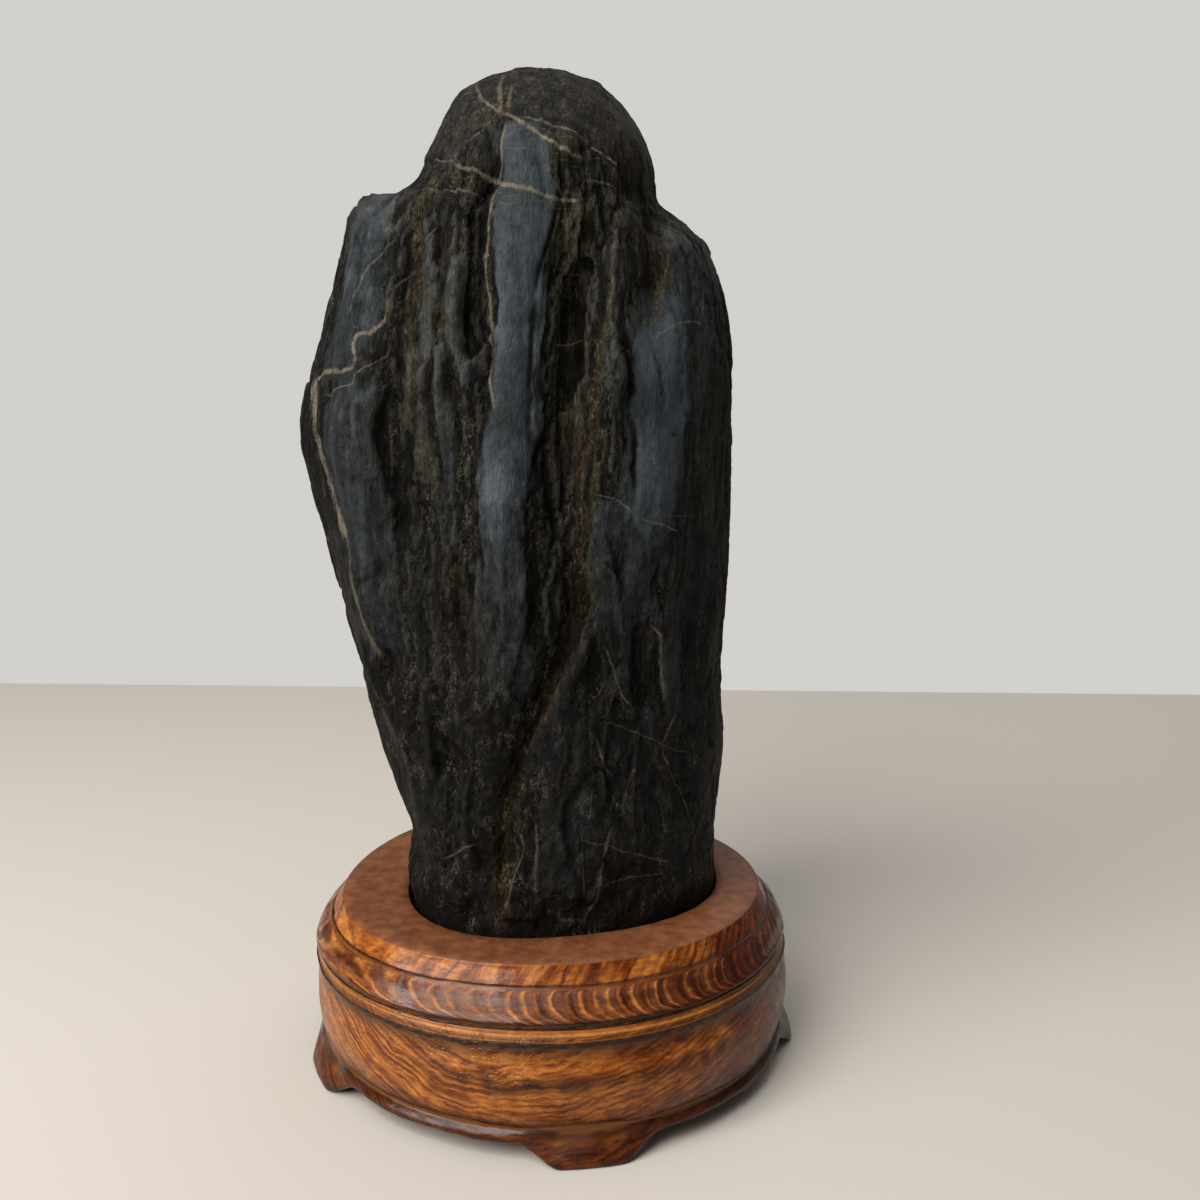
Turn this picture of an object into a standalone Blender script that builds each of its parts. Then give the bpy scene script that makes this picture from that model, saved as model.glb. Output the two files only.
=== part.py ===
"""A scholar's rock standing in the seat of its carved wooden stand.

The rock is one natural piece of dark, slaty stone: a domed head over two shoulders, a smooth
slab down the middle of its face, and flutes and clefts that run down all its sides. Its foot is
sunk in the stand. The stand is one carved block of hardwood: a flat matt rim, two fasciae, a
bead, a swelling body, and a lip that sweeps down into five cloud-shaped feet.

The frame is the stand's own: the origin lies on the ground under the middle of the whole thing,
+X is to the right of the rock's face, -Y is the way the face looks, and +Z is up. Bearings are
in degrees round a vertical axis, 0 at the face and growing towards +X. Sizes are millimetres.
"""

import math
from typing import NamedTuple

import bmesh
import bpy
import numpy as np
from mathutils import Vector, noise

MM = 0.001
PLAN_X = -1.21          # axis of the stand's plan, which puts the whole box's middle on the
PLAN_Y = 0.64           # origin: the feet don't reach equally far on opposite sides

# --- the rock's driving dimensions ---------------------------------------------------------

ROCK_AXIS_X = -4.0      # upright axis of the rock's bearings, left of the stand's own axis
ROCK_TOP = 272.6        # crown of the head above the ground
ROCK_FOOT = 34.0        # underside of the rock, on the floor of the seat
ROCK_COLUMNS = 180      # facets round the rock before it is thinned
ROCK_FACES = 5800       # triangles the rock is thinned to
SECTION_POWER = 2.15    # roundness of a level section: 2 is an ellipse, more is squarer
SECTION_SKEW = -0.05    # how much the right front corner is flattened and the left one filled
GRAIN_RELIEF = 0.9      # rise and fall of the small unevenness all over the stone
WANDER = 1.7            # how far folds and shoulders stray from their drawn lines
BACK_SLOPE = 9.0        # how much lower the shoulders lie at the back than at the sides

# --- the stand's driving dimensions --------------------------------------------------------

STAND_HEIGHT = 48.0     # flat rim above the ground
SEAT_FLOOR = 33.7       # floor of the seat, just clear of the rock's underside
SEAT_GAP = 0.6          # clearance between the rock and the seat's wall
BELLY = 5.0             # underside of the stand between its feet
FEET = [-65.0, 9.8, 91.0, 160.0, 227.0]     # bearings of the feet, spaced a little unevenly
FOOT_HALF = 9.5         # half the bearing that a foot covers on the ground
FOOT_FLARE = 7.0        # bearing over which the lip sweeps down into a foot


class Level(NamedTuple):
    """Reach of the rock at one height, as the faces of an upright box round its section."""

    height: float
    left: float
    right: float
    front: float
    back: float


LEVELS = [
    Level(34.0, -38.0, 44.5, -37.0, 40.0),
    Level(41.0, -39.7, 46.8, -39.5, 42.5),
    Level(48.0, -40.2, 47.5, -40.3, 43.5),
    Level(65.0, -42.4, 46.8, -41.3, 44.5),
    Level(83.0, -50.2, 47.9, -42.6, 46.0),
    Level(95.0, -53.7, 48.7, -43.4, 46.8),
    Level(113.0, -56.5, 48.6, -44.4, 47.3),
    Level(131.0, -58.3, 48.8, -45.4, 47.3),
    Level(148.0, -60.4, 48.9, -46.2, 47.0),
    Level(165.0, -65.0, 50.4, -46.6, 46.2),
    Level(176.0, -67.6, 51.2, -46.8, 45.4),
    Level(183.0, -68.0, 51.7, -46.8, 44.8),
    Level(192.0, -66.2, 50.8, -46.8, 44.0),
    Level(203.0, -62.1, 48.2, -46.6, 42.6),
    Level(214.0, -59.4, 45.8, -46.2, 40.8),
    Level(224.0, -56.6, 43.2, -45.6, 38.8),
    Level(231.0, -54.2, 39.3, -44.9, 37.2),
    Level(235.0, -52.0, 34.0, -44.3, 36.2),
    Level(239.0, -45.4, 27.2, -43.7, 35.0),
    Level(241.0, -38.4, 26.4, -43.2, 34.4),
    Level(243.0, -37.0, 26.4, -42.8, 33.8),
    Level(248.0, -34.4, 26.4, -41.6, 32.2),
    Level(254.0, -31.0, 24.4, -38.6, 29.6),
    Level(259.5, -28.8, 21.4, -34.4, 26.4),
    Level(264.0, -26.6, 18.1, -29.6, 22.6),
    Level(267.2, -23.8, 15.4, -24.6, 18.8),
    Level(269.6, -19.6, 12.2, -19.4, 14.6),
    Level(271.4, -14.2, 6.8, -13.0, 9.6),
    Level(272.3, -10.0, 2.2, -6.8, 4.8),
]


class Facet(NamedTuple):
    """A plane that the stone broke along: which way it faces and how far out it lies.

    The distance is from the rock's axis at the given height, and slope is what that distance
    gains for each millimetre higher up.
    """

    bearing: float
    height: float
    distance: float
    slope: float


FACETS = [
    Facet(-70.0, 67.0, 36.4, 0.28),      # long chamfer up the left side, from the stand
    Facet(44.0, 160.0, 48.0, 0.01),      # smooth cheek of the right lobe
    Facet(78.0, 110.0, 52.2, 0.0),       # right flank
    Facet(124.0, 175.0, 47.8, -0.07),
    Facet(163.0, 130.0, 46.0, -0.02),
    Facet(-150.0, 185.0, 48.0, -0.10),
    Facet(-112.0, 120.0, 50.0, 0.12),
]
FACET_EDGE = 1.2        # rounding of the edge where a facet meets the rest


class Fold(NamedTuple):
    """A ridge (lift above 0) or a cleft (below 0) along a path of (bearing, height) points."""

    lift: float
    width: float
    path: list


FACE_FOLDS = [
    # clefts and low ground either side of the smooth middle slab
    Fold(-5.2, 2.5, [(-15.8, 256.0), (-13.8, 237.0), (-14.1, 223.0), (-13.6, 201.0)]),
    Fold(-3.4, 7.5, [(-24.8, 243.0), (-22.6, 214.0), (-23.0, 190.0), (-26.6, 148.0)]),
    Fold(-7.2, 5.8, [(15.0, 243.0), (14.5, 214.5), (11.5, 186.0), (8.1, 148.0)]),
    # groove down the left of the face, opening to a rough hollow band
    Fold(-4.4, 2.6, [(-38.0, 243.0), (-34.2, 214.0), (-34.1, 188.0)]),
    Fold(-4.0, 5.5, [(-32.7, 198.0), (-35.4, 173.0), (-39.1, 142.0)]),
    # cleft that wanders from the right of the slab down to the left of the foot
    Fold(-4.6, 3.4, [
        (17.0, 190.0), (13.8, 167.5), (13.7, 151.0), (15.3, 139.0), (12.9, 130.0), (7.8, 121.8),
        (5.2, 114.5), (-0.1, 103.8), (-3.9, 96.4), (-7.3, 88.4), (-7.2, 79.3), (-10.1, 66.0),
        (-12.5, 46.0),
    ]),
    Fold(2.0, 2.6, [(20.5, 150.0), (16.5, 130.5), (11.1, 117.4), (6.0, 104.0)]),
    # right lobe: its groove, the cleft under the shoulder and the fall to the right flank
    Fold(-2.0, 2.0, [(31.0, 199.0), (32.6, 185.0), (32.1, 165.0)]),
    Fold(-4.4, 3.2, [(66.0, 240.0), (50.0, 233.0), (42.7, 224.0), (41.0, 212.0), (36.5, 203.0)]),
    Fold(-1.6, 5.0, [(57.0, 188.0), (61.0, 148.0), (65.0, 88.0)]),
    Fold(2.4, 8.0, [(44.0, 218.0), (40.7, 185.0), (42.0, 160.0), (41.3, 126.0)]),
    Fold(2.2, 3.6, [(29.0, 240.0), (26.6, 214.6), (24.7, 183.0)]),
    # left lobe, and the flutes between it and the slab
    Fold(3.0, 8.5, [(-52.0, 206.0), (-50.8, 175.0), (-50.8, 144.0), (-45.4, 108.0)]),
    Fold(2.6, 2.3, [(-24.8, 234.0), (-22.5, 208.0), (-20.4, 199.0), (-16.0, 180.0)]),
    Fold(2.2, 2.5, [(-30.3, 232.0), (-29.1, 207.0), (-26.0, 182.0)]),
    # swelling at the foot of the slab, then the pillows and hollows below
    Fold(2.8, 6.2, [(-8.0, 178.0), (-8.6, 151.0), (-8.8, 122.0)]),
    Fold(-3.6, 4.6, [(-28.2, 108.0), (-29.8, 82.0)]),
    Fold(-2.8, 3.4, [(-43.8, 136.0), (-46.4, 110.0)]),
    Fold(-2.6, 2.8, [(36.4, 142.0), (39.9, 112.7), (37.5, 93.0)]),
    Fold(2.2, 4.4, [(28.3, 140.0), (30.3, 102.0)]),
    Fold(2.0, 3.8, [(43.5, 138.0), (45.5, 106.0)]),
    Fold(1.8, 7.5, [(-28.9, 84.0), (-30.0, 46.0)]),
    Fold(1.4, 8.0, [(25.5, 96.0), (22.3, 50.0)]),
]
BACK_FOLDS = [
    Fold(-5.0, 5.5, [(173.0, 246.0), (168.0, 192.0), (176.0, 142.0), (169.0, 96.0)]),
    Fold(-3.0, 3.0, [(171.0, 170.0), (160.0, 140.0), (156.0, 104.0), (148.0, 78.0)]),
    Fold(3.2, 7.5, [(147.0, 228.0), (151.0, 170.0), (141.0, 112.0), (147.0, 66.0)]),
    Fold(3.0, 8.5, [(-152.0, 230.0), (-156.0, 180.0), (-149.0, 128.0), (-158.0, 76.0)]),
    Fold(-4.0, 3.8, [(-134.0, 240.0), (-128.0, 202.0), (-134.0, 160.0), (-126.0, 104.0)]),
    Fold(-3.4, 4.2, [(121.0, 236.0), (116.0, 190.0), (122.0, 150.0), (114.0, 92.0)]),
    Fold(-2.4, 2.6, [(101.0, 222.0), (97.0, 182.0), (102.0, 140.0), (96.0, 104.0)]),
    Fold(-2.6, 3.4, [(-108.0, 226.0), (-104.0, 196.0), (-108.0, 160.0)]),
    Fold(2.4, 6.5, [(-116.0, 150.0), (-110.0, 112.0), (-118.0, 68.0)]),
    Fold(1.8, 4.0, [(162.0, 128.0), (182.0, 118.0), (-158.0, 124.0)]),
    Fold(-2.8, 6.0, [(-172.0, 92.0), (-165.0, 66.0)]),
    Fold(-2.6, 4.0, [(140.0, 252.0), (160.0, 243.0), (180.0, 247.0)]),
]


def smoothstep(low, high, value):
    """Rise from 0 at low to 1 at high, with no corner at either end."""
    share = np.clip((value - low) / (high - low), 0.0, 1.0)
    return share * share * (3.0 - 2.0 * share)


def level_reach(heights):
    """Read LEVELS at each height: left, right, front and back, one column each."""
    table = np.array(LEVELS)
    return [np.interp(heights, table[:, 0], table[:, side]) for side in range(1, 5)]


def section_radius(bearings, heights):
    """Distance from the rock's axis to its plain surface, before any fold or grain."""
    left, right, front, back = level_reach(heights)
    across = np.where(np.sin(bearings) > 0.0, right - ROCK_AXIS_X, ROCK_AXIS_X - left)
    along = np.where(np.cos(bearings) > 0.0, -front, back)
    power = SECTION_POWER
    sides = (np.abs(np.sin(bearings)) / across) ** power
    sides += (np.abs(np.cos(bearings)) / along) ** power
    skew = SECTION_SKEW * np.sin(2.0 * bearings) * (0.5 + 0.5 * np.cos(bearings))
    return sides ** (-1.0 / power) * (1.0 + skew)


def fold_lift(fold, bearings, heights, radii):
    """Height that one fold adds to the surface, tapering to nothing at both its ends."""
    nearest = np.full(radii.shape, np.inf)
    place = np.zeros(radii.shape)
    run = 0.0
    length = sum(math.dist(a, b) for a, b in zip(fold.path, fold.path[1:]))
    for start, end in zip(fold.path, fold.path[1:]):
        turn = math.radians((end[0] - start[0] + 180.0) % 360.0 - 180.0)
        rise = end[1] - start[1]
        offset = (bearings - math.radians(start[0]) + math.pi) % (2.0 * math.pi) - math.pi
        across = offset * radii
        along = heights - start[1]
        reach = turn * radii
        share = (across * reach + along * rise) / (reach * reach + rise * rise)
        share = np.clip(share, 0.0, 1.0)
        gap = np.hypot(across - share * reach, along - share * rise)
        closer = gap < nearest
        nearest = np.where(closer, gap, nearest)
        place = np.where(closer, run + share * math.dist(start, end), place)
        run += math.dist(start, end)
    taper = smoothstep(0.0, 0.3, place / length) * smoothstep(0.0, 0.3, 1.0 - place / length)
    return fold.lift * taper * np.exp(-((nearest / fold.width) ** 2))


def facet_radius(facet, bearings, heights):
    """Distance from the rock's axis to a facet's plane: far off where it faces away."""
    facing = np.cos(bearings - math.radians(facet.bearing))
    distance = facet.distance + facet.slope * (heights - facet.height)
    clear_of_foot = 12.0 * smoothstep(66.0, 50.0, heights)
    return (distance + clear_of_foot) / np.maximum(facing, 0.2)


def stone_point(bearing, height, radius):
    """The place in the stone that its grain is read at."""
    return Vector((math.sin(bearing) * radius, math.cos(bearing) * radius, height))


def wander(bearing, height, radius):
    """How the stone leads a fold astray: along the girth, up or down, and in depth."""
    return noise.noise_vector(stone_point(bearing, height, radius) / 15.0)


def grain(bearing, height, radius):
    """Unevenness of the bare stone: patches drawn out along its upright grain."""
    place = stone_point(bearing, height * 0.35, radius)
    coarse = noise.fractal(place / 17.0, 1.0, 2.0, 3)
    fine = noise.fractal(place / 6.0, 1.0, 2.0, 2)
    return coarse + 0.45 * fine


def ring_heights():
    """Heights of the rock's level rings: close together where its outline turns fast."""
    return np.concatenate([
        np.linspace(ROCK_FOOT, 226.0, 112),
        np.linspace(227.0, 250.0, 24),
        np.linspace(251.5, 269.5, 14),
        [270.4, 271.2, 271.8, 272.3],
    ])


def rock_surface():
    """Work out the rock's rings: bearings, heights and distances from its axis."""
    bearings = np.linspace(-math.pi, math.pi, ROCK_COLUMNS, endpoint=False)
    heights = ring_heights()
    turn, height = np.meshgrid(bearings, heights)
    behind = np.maximum(0.0, -np.cos(turn)) ** 2 * smoothstep(264.0, 244.0, height)
    radii = section_radius(turn, height + BACK_SLOPE * behind * smoothstep(150.0, 220.0, height))
    for _ in range(2):
        radii[1:-1] = (radii[:-2] + 2.0 * radii[1:-1] + radii[2:]) / 4.0
    plain = radii.copy()
    for facet in FACETS:
        excess = (radii - facet_radius(facet, turn, height)) / FACET_EDGE
        radii = radii - FACET_EDGE * np.logaddexp(0.0, excess)
    stray = WANDER * np.array([
        [wander(a, z, r) for a, r in zip(bearings, row)] for z, row in zip(heights, plain)
    ])
    strayed_turn = turn + stray[..., 0] / plain
    strayed_height = height + 2.0 * stray[..., 1]
    for fold in FACE_FOLDS + BACK_FOLDS:
        lift = fold_lift(fold, strayed_turn, strayed_height, plain)
        radii = radii + lift * (1.0 + 0.2 * stray[..., 2])
    rough = np.array([
        [grain(a, z, r) for a, r in zip(bearings, row)] for z, row in zip(heights, plain)
    ])
    calm = smoothstep(46.0, 62.0, height) * smoothstep(ROCK_TOP + 2.0, ROCK_TOP - 14.0, height)
    radii = radii + GRAIN_RELIEF * rough * calm
    seated = smoothstep(62.0, 47.0, height)
    radii = radii + (np.minimum(radii, plain) - radii) * seated
    return bearings, heights, radii


def ring_point(bearing, radius, height, axis_x=0.0):
    """A point at a bearing and a distance from an upright axis, axis_x right of the plan's."""
    turn = math.radians(bearing)
    across = PLAN_X + axis_x + radius * math.sin(turn)
    return (across, PLAN_Y - radius * math.cos(turn), height)


def new_object(name, mesh, color, roughness):
    """Link a mesh to the scene as a named object with one material of its own."""
    obj = bpy.data.objects.new(name, mesh)
    bpy.context.scene.collection.objects.link(obj)
    material = bpy.data.materials.new(name + "_finish")
    material.use_nodes = True
    shader = material.node_tree.nodes["Principled BSDF"]
    shader.inputs["Base Color"].default_value = (*color, 1.0)
    shader.inputs["Roughness"].default_value = roughness
    shader.inputs["Metallic"].default_value = 0.0
    mesh.materials.append(material)
    mesh.shade_smooth()
    mesh.set_sharp_from_angle(angle=math.radians(40.0))
    return obj


def stitch_rings(rings, first_pole, last_pole):
    """Join closed rings of points into one skin, closed at each end by a fan to its pole."""
    shell = bmesh.new()
    loops = [[shell.verts.new(Vector(point) * MM) for point in ring] for ring in rings]
    count = len(rings[0])
    for lower, upper in zip(loops, loops[1:]):
        for i in range(count):
            j = (i + 1) % count
            shell.faces.new((lower[i], lower[j], upper[j], upper[i]))
    for loop, pole in ((loops[0], first_pole), (loops[-1], last_pole)):
        tip = shell.verts.new(Vector(pole) * MM)
        for i in range(count):
            shell.faces.new((loop[i], loop[(i + 1) % count], tip))
    bmesh.ops.recalc_face_normals(shell, faces=shell.faces)
    mesh = bpy.data.meshes.new("skin")
    shell.to_mesh(mesh)
    shell.free()
    return mesh


def make_rock():
    """Model the rock: its rings stitched to one skin, then thinned to flat facets."""
    bearings, heights, radii = rock_surface()
    rings = [
        [ring_point(math.degrees(a), r, z, ROCK_AXIS_X) for a, r in zip(bearings, row)]
        for z, row in zip(heights, radii)
    ]
    base = ring_point(0.0, 0.0, ROCK_FOOT, ROCK_AXIS_X)
    crown = ring_point(0.0, 0.0, ROCK_TOP, ROCK_AXIS_X)
    mesh = stitch_rings(rings, base, crown)
    rock = new_object("rock", mesh, (0.022, 0.024, 0.028), 0.55)
    facets = 2 * (len(mesh.polygons) - ROCK_COLUMNS)
    thin = rock.modifiers.new("facets", "DECIMATE")
    thin.ratio = ROCK_FACES / facets
    return rock


class Moulding(NamedTuple):
    """A point of the stand's profile: how far it stands out from the rim, and its height."""

    out: float
    height: float


UPPER_PROFILE = [
    Moulding(-1.4, 48.0),
    Moulding(-0.3, 47.5),
    Moulding(0.2, 46.6),
    Moulding(2.5, 42.9),
    Moulding(2.1, 42.3),
    Moulding(3.5, 42.0),
    Moulding(5.8, 40.0),
    Moulding(7.2, 37.3),
    Moulding(7.7, 35.5),
    Moulding(6.3, 34.4),
    Moulding(7.6, 33.6),
    Moulding(7.6, 32.7),
    Moulding(6.8, 31.5),
    Moulding(7.1, 30.0),
    Moulding(8.3, 27.0),
    Moulding(9.3, 22.5),
    Moulding(9.4, 18.0),
    Moulding(8.9, 13.5),
]
LIP_PROFILE = [
    Moulding(8.1, 10.0),
    Moulding(7.6, 8.8),
    Moulding(8.8, 7.4),
    Moulding(8.9, 5.9),
    Moulding(7.6, BELLY),
    Moulding(-9.0, BELLY),
]
FOOT_PROFILE = [
    Moulding(7.2, 10.4),
    Moulding(7.0, 8.8),
    Moulding(9.8, 5.2),
    Moulding(12.0, 1.8),
    Moulding(11.4, 0.0),
    Moulding(-7.5, 0.0),
]
RIM_RADIUS = 59.3       # mean radius of the rim
RIM_WAVES = [           # its departures from a circle: waves round it, height, bearing of crest
    (1, 1.4, -139.0),
    (2, 1.55, -161.0),
    (3, 1.15, -132.0),
    (4, 0.45, 111.0),
]
BODY_RADIUS = 60.3      # mean radius of the plan that the rim's evens out to lower down
BODY_OVAL = 0.9         # how much further that plan reaches to the face and the back


def rim_radius(bearing):
    """Radius of the stand's rim at a bearing: a circle with a few long, shallow waves."""
    waves = [
        crest * math.cos(math.radians(count * bearing - turn)) for count, crest, turn in RIM_WAVES
    ]
    return RIM_RADIUS + sum(waves)


def foot_share(bearing):
    """How much of a foot stands at a bearing: 1 over a foot, 0 between the feet."""
    off = min(abs((bearing - foot + 180.0) % 360.0 - 180.0) for foot in FEET)
    return 1.0 - float(smoothstep(FOOT_HALF, FOOT_HALF + FOOT_FLARE, off))


def stand_radius(bearing, moulding):
    """Radius of the stand at a profile point: the rim's plan above, a rounder one below."""
    evened = float(smoothstep(43.0, 20.0, moulding.height))
    plan = rim_radius(bearing)
    oval = BODY_RADIUS + BODY_OVAL * math.cos(math.radians(2.0 * bearing))
    return plan + (oval - plan) * evened + moulding.out


def foot_bearings():
    """Bearings of the stand's columns: close together where the lip sweeps into a foot."""
    edge = FOOT_HALF + FOOT_FLARE
    sweep = [FOOT_HALF + FOOT_FLARE * share for share in (0.0, 0.33, 0.67, 1.0)]
    half = [FOOT_HALF / 3.0] + sweep
    one_foot = [-turn for turn in reversed(half)] + half
    columns = []
    for foot, after in zip(FEET, FEET[1:] + [FEET[0] + 360.0]):
        columns += [foot + turn for turn in one_foot]
        between = after - foot - 2.0 * edge
        columns += [foot + edge + between * share for share in (0.2, 0.4, 0.6, 0.8)]
    return columns


def seat_point(bearing, rock_height, height):
    """A point on the seat's wall: the rock's plain section at rock_height, plus the gap."""
    turn = np.array(math.radians(bearing))
    radius = float(section_radius(turn, np.array(rock_height))) + SEAT_GAP
    return ring_point(bearing, radius, height, ROCK_AXIS_X)


def make_stand():
    """Model the stand: one profile swept round its plan, open above for the rock's foot."""
    bearings = foot_bearings()
    hub = Vector(ring_point(0.0, 0.0, SEAT_FLOOR, ROCK_AXIS_X))
    rings = []
    for floor_share in (0.5, 1.0):
        wall = [Vector(seat_point(b, ROCK_FOOT, SEAT_FLOOR)) for b in bearings]
        rings.append([tuple(hub.lerp(point, floor_share)) for point in wall])
    for height in (41.0, STAND_HEIGHT):
        rings.append([seat_point(b, height, height) for b in bearings])
    for moulding in UPPER_PROFILE:
        rings.append([
            ring_point(b, stand_radius(b, moulding), moulding.height) for b in bearings
        ])
    for lip, foot in zip(LIP_PROFILE, FOOT_PROFILE):
        ring = []
        for bearing in bearings:
            share = foot_share(bearing)
            mixed = Moulding(
                lip.out + (foot.out - lip.out) * share,
                lip.height + (foot.height - lip.height) * share,
            )
            ring.append(ring_point(bearing, stand_radius(bearing, mixed), mixed.height))
        rings.append(ring)
    inside = Moulding(-12.0, BELLY)
    rings.append([ring_point(b, stand_radius(b, inside), BELLY) for b in bearings])
    mesh = stitch_rings(rings, tuple(hub), ring_point(0.0, 0.0, BELLY))
    return new_object("stand", mesh, (0.26, 0.09, 0.03), 0.35)


def main():
    """Clear the scene and build the rock on its stand."""
    for obj in list(bpy.data.objects):
        bpy.data.objects.remove(obj, do_unlink=True)
    make_rock()
    make_stand()


main()
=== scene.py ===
"""Looks of a scholar's rock and its carved wooden stand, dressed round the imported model.

The rock is a slaty stone with calcite and ochre veins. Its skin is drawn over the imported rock:
points are cast outwards from the rock's upright axis, their facets are eased away, and cuts,
flakes and fibres are laid on along the stone's own grain. The stand is one profile swept round
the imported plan, five feet blended in, then worked over as a carver would.

Sizes are millimetres until a mesh is made. Bearings are degrees round an upright axis, 0 at the
face (-Y) and growing towards +X.
"""

import logging
import math
from collections.abc import Callable, Sequence
from dataclasses import dataclass, field
from enum import Enum
from functools import partial

import bpy
import numpy as np
from mathutils import Matrix, Vector, noise
from mathutils.bvhtree import BVHTree


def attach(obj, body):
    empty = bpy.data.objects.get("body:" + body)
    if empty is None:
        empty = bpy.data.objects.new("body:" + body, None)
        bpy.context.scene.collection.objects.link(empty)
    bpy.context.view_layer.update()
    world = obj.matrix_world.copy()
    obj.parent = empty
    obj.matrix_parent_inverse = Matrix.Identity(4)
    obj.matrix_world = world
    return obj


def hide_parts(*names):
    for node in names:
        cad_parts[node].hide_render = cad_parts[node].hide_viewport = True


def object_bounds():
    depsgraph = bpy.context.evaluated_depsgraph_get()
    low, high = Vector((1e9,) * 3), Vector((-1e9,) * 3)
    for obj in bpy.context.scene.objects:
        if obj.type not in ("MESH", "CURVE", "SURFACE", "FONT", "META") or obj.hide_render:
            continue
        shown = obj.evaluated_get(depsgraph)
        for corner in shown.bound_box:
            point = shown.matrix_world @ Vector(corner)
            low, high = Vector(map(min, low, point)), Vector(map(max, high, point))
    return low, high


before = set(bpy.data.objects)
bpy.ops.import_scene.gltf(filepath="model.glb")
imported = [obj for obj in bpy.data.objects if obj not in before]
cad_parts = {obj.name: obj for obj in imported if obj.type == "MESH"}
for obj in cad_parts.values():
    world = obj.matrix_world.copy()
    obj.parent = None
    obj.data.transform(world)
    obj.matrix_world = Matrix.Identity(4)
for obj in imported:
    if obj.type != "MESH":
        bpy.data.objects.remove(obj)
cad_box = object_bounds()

log = logging.getLogger("scholars_rock")

MM = 0.001
PLAN_AXIS = (-1.21, 0.64)       # upright axis of the stand's plan
ROCK_AXIS = (-5.21, 0.64)       # upright axis of the rock's bearings
SPLIT_LINE = 118.0              # below this height the stone's grain is cut shorter
GRAIN_CUT = 1.6                 # by this share of its length
VEIN_CHANNELS = 4
HALF = Vector((0.5, 0.5, 0.5))

MATH, MAP, MIX = "ShaderNodeMath", "ShaderNodeMapRange", "ShaderNodeMix"
NOISE, RAMP, STRETCH = "ShaderNodeTexNoise", "ShaderNodeValToRGB", "ShaderNodeMapping"
SPLIT, READ, VECTOR = "ShaderNodeSeparateXYZ", "ShaderNodeAttribute", "ShaderNodeVectorMath"
TIMES, TIMES_ADD = {"operation": "MULTIPLY"}, {"operation": "MULTIPLY_ADD"}
MINUS, ABSOLUTE, LARGER = (
    {"operation": name} for name in ("SUBTRACT", "ABSOLUTE", "MAXIMUM")
)
EASED = {"interpolation_type": "SMOOTHSTEP"}
COLOR = {"data_type": "RGBA"}

Path = list[tuple[float, float]]
Socket = bpy.types.NodeSocket
Value = float | str | tuple | Socket


def linear(code: str) -> tuple[float, float, float, float]:
    """Turn an sRGB hex colour into the linear colour that a shader takes.

    Args:
        code: six hex digits after a hash sign.

    Returns:
        Linear red, green, blue and an alpha of 1.
    """
    parts = [int(code[i : i + 2], 16) / 255.0 for i in (1, 3, 5)]
    low = [c / 12.92 if c <= 0.04045 else ((c + 0.055) / 1.055) ** 2.4 for c in parts]
    return (*low, 1.0)


def smoothstep(low: float, high: float, value: np.ndarray) -> np.ndarray:
    """Rise from 0 at low to 1 at high, with no corner at either end."""
    share = np.clip((value - low) / (high - low), 0.0, 1.0)
    return share * share * (3.0 - 2.0 * share)


def add(
    tree: bpy.types.NodeTree,
    kind: str,
    inputs: dict[int | str, Value] | Sequence[Value] = (),
    output: int | str = 0,
    **settings: object,
) -> Socket:
    """Add a node with its settings, and feed its inputs with values or other sockets.

    Args:
        tree: the node tree to add to.
        kind: the node's type name.
        inputs: values, hex colours or output sockets, in order or by the input's name or number.
        output: which of the node's outputs to hand back.
        settings: properties of the node itself; stops are a colour ramp's places and colours.

    Returns:
        The chosen output socket.
    """
    node = tree.nodes.new(kind)
    stops = settings.pop("stops", ())
    for number, (place, code) in enumerate(stops):
        elements = node.color_ramp.elements
        element = elements[number] if number < len(elements) else elements.new(place)
        element.position, element.color = place, linear(code)
    for name, value in settings.items():
        setattr(node, name, value)
    for key, value in (inputs if isinstance(inputs, dict) else dict(enumerate(inputs))).items():
        if isinstance(value, Socket):
            tree.links.new(value, node.inputs[key])
        elif isinstance(value, str) and value.startswith("#"):
            node.inputs[key].default_value = linear(value)
        else:
            node.inputs[key].default_value = value
    return node.outputs[output]


def new_piece(
    name: str, vertices: np.ndarray, faces: list[tuple[int, ...]], material: bpy.types.Material
) -> bpy.types.Object:
    """Link a mesh to the scene as a smooth piece of one material.

    Args:
        name: the piece's name.
        vertices: its points, in millimetres.
        faces: the points of each face, anticlockwise seen from outside.
        material: its finish.

    Returns:
        The piece.
    """
    mesh = bpy.data.meshes.new(name)
    mesh.from_pydata((vertices * MM).tolist(), [], faces)
    mesh.materials.append(material)
    mesh.shade_smooth()
    piece = bpy.data.objects.new(name, mesh)
    bpy.context.scene.collection.objects.link(piece)
    return piece


def write_attribute(mesh: bpy.types.Mesh, name: str, values: np.ndarray) -> None:
    """Store values on the points of a mesh, for its material or a node tree to read.

    Args:
        mesh: the mesh.
        name: the attribute's name.
        values: a number, a yes or no, or a row of three numbers for each point.
    """
    if values.dtype == bool:
        layer = mesh.attributes.new(name, "BOOLEAN", "POINT")
        layer.data.foreach_set("value", values)
        return
    values = np.asarray(values, np.float32)
    if values.ndim == 2:
        layer = mesh.attributes.new(name, "FLOAT_VECTOR", "POINT")
        layer.data.foreach_set("vector", values.ravel())
    else:
        layer = mesh.attributes.new(name, "FLOAT", "POINT")
        layer.data.foreach_set("value", values)


def sample(places: np.ndarray, function: Callable) -> np.ndarray:
    """Read a noise function at every place of an array whose rows are places."""
    read = [function(place) for place in places.reshape(-1, 3).tolist()]
    return np.array(read).reshape(*places.shape[:-1], *np.shape(read[0]))


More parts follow.
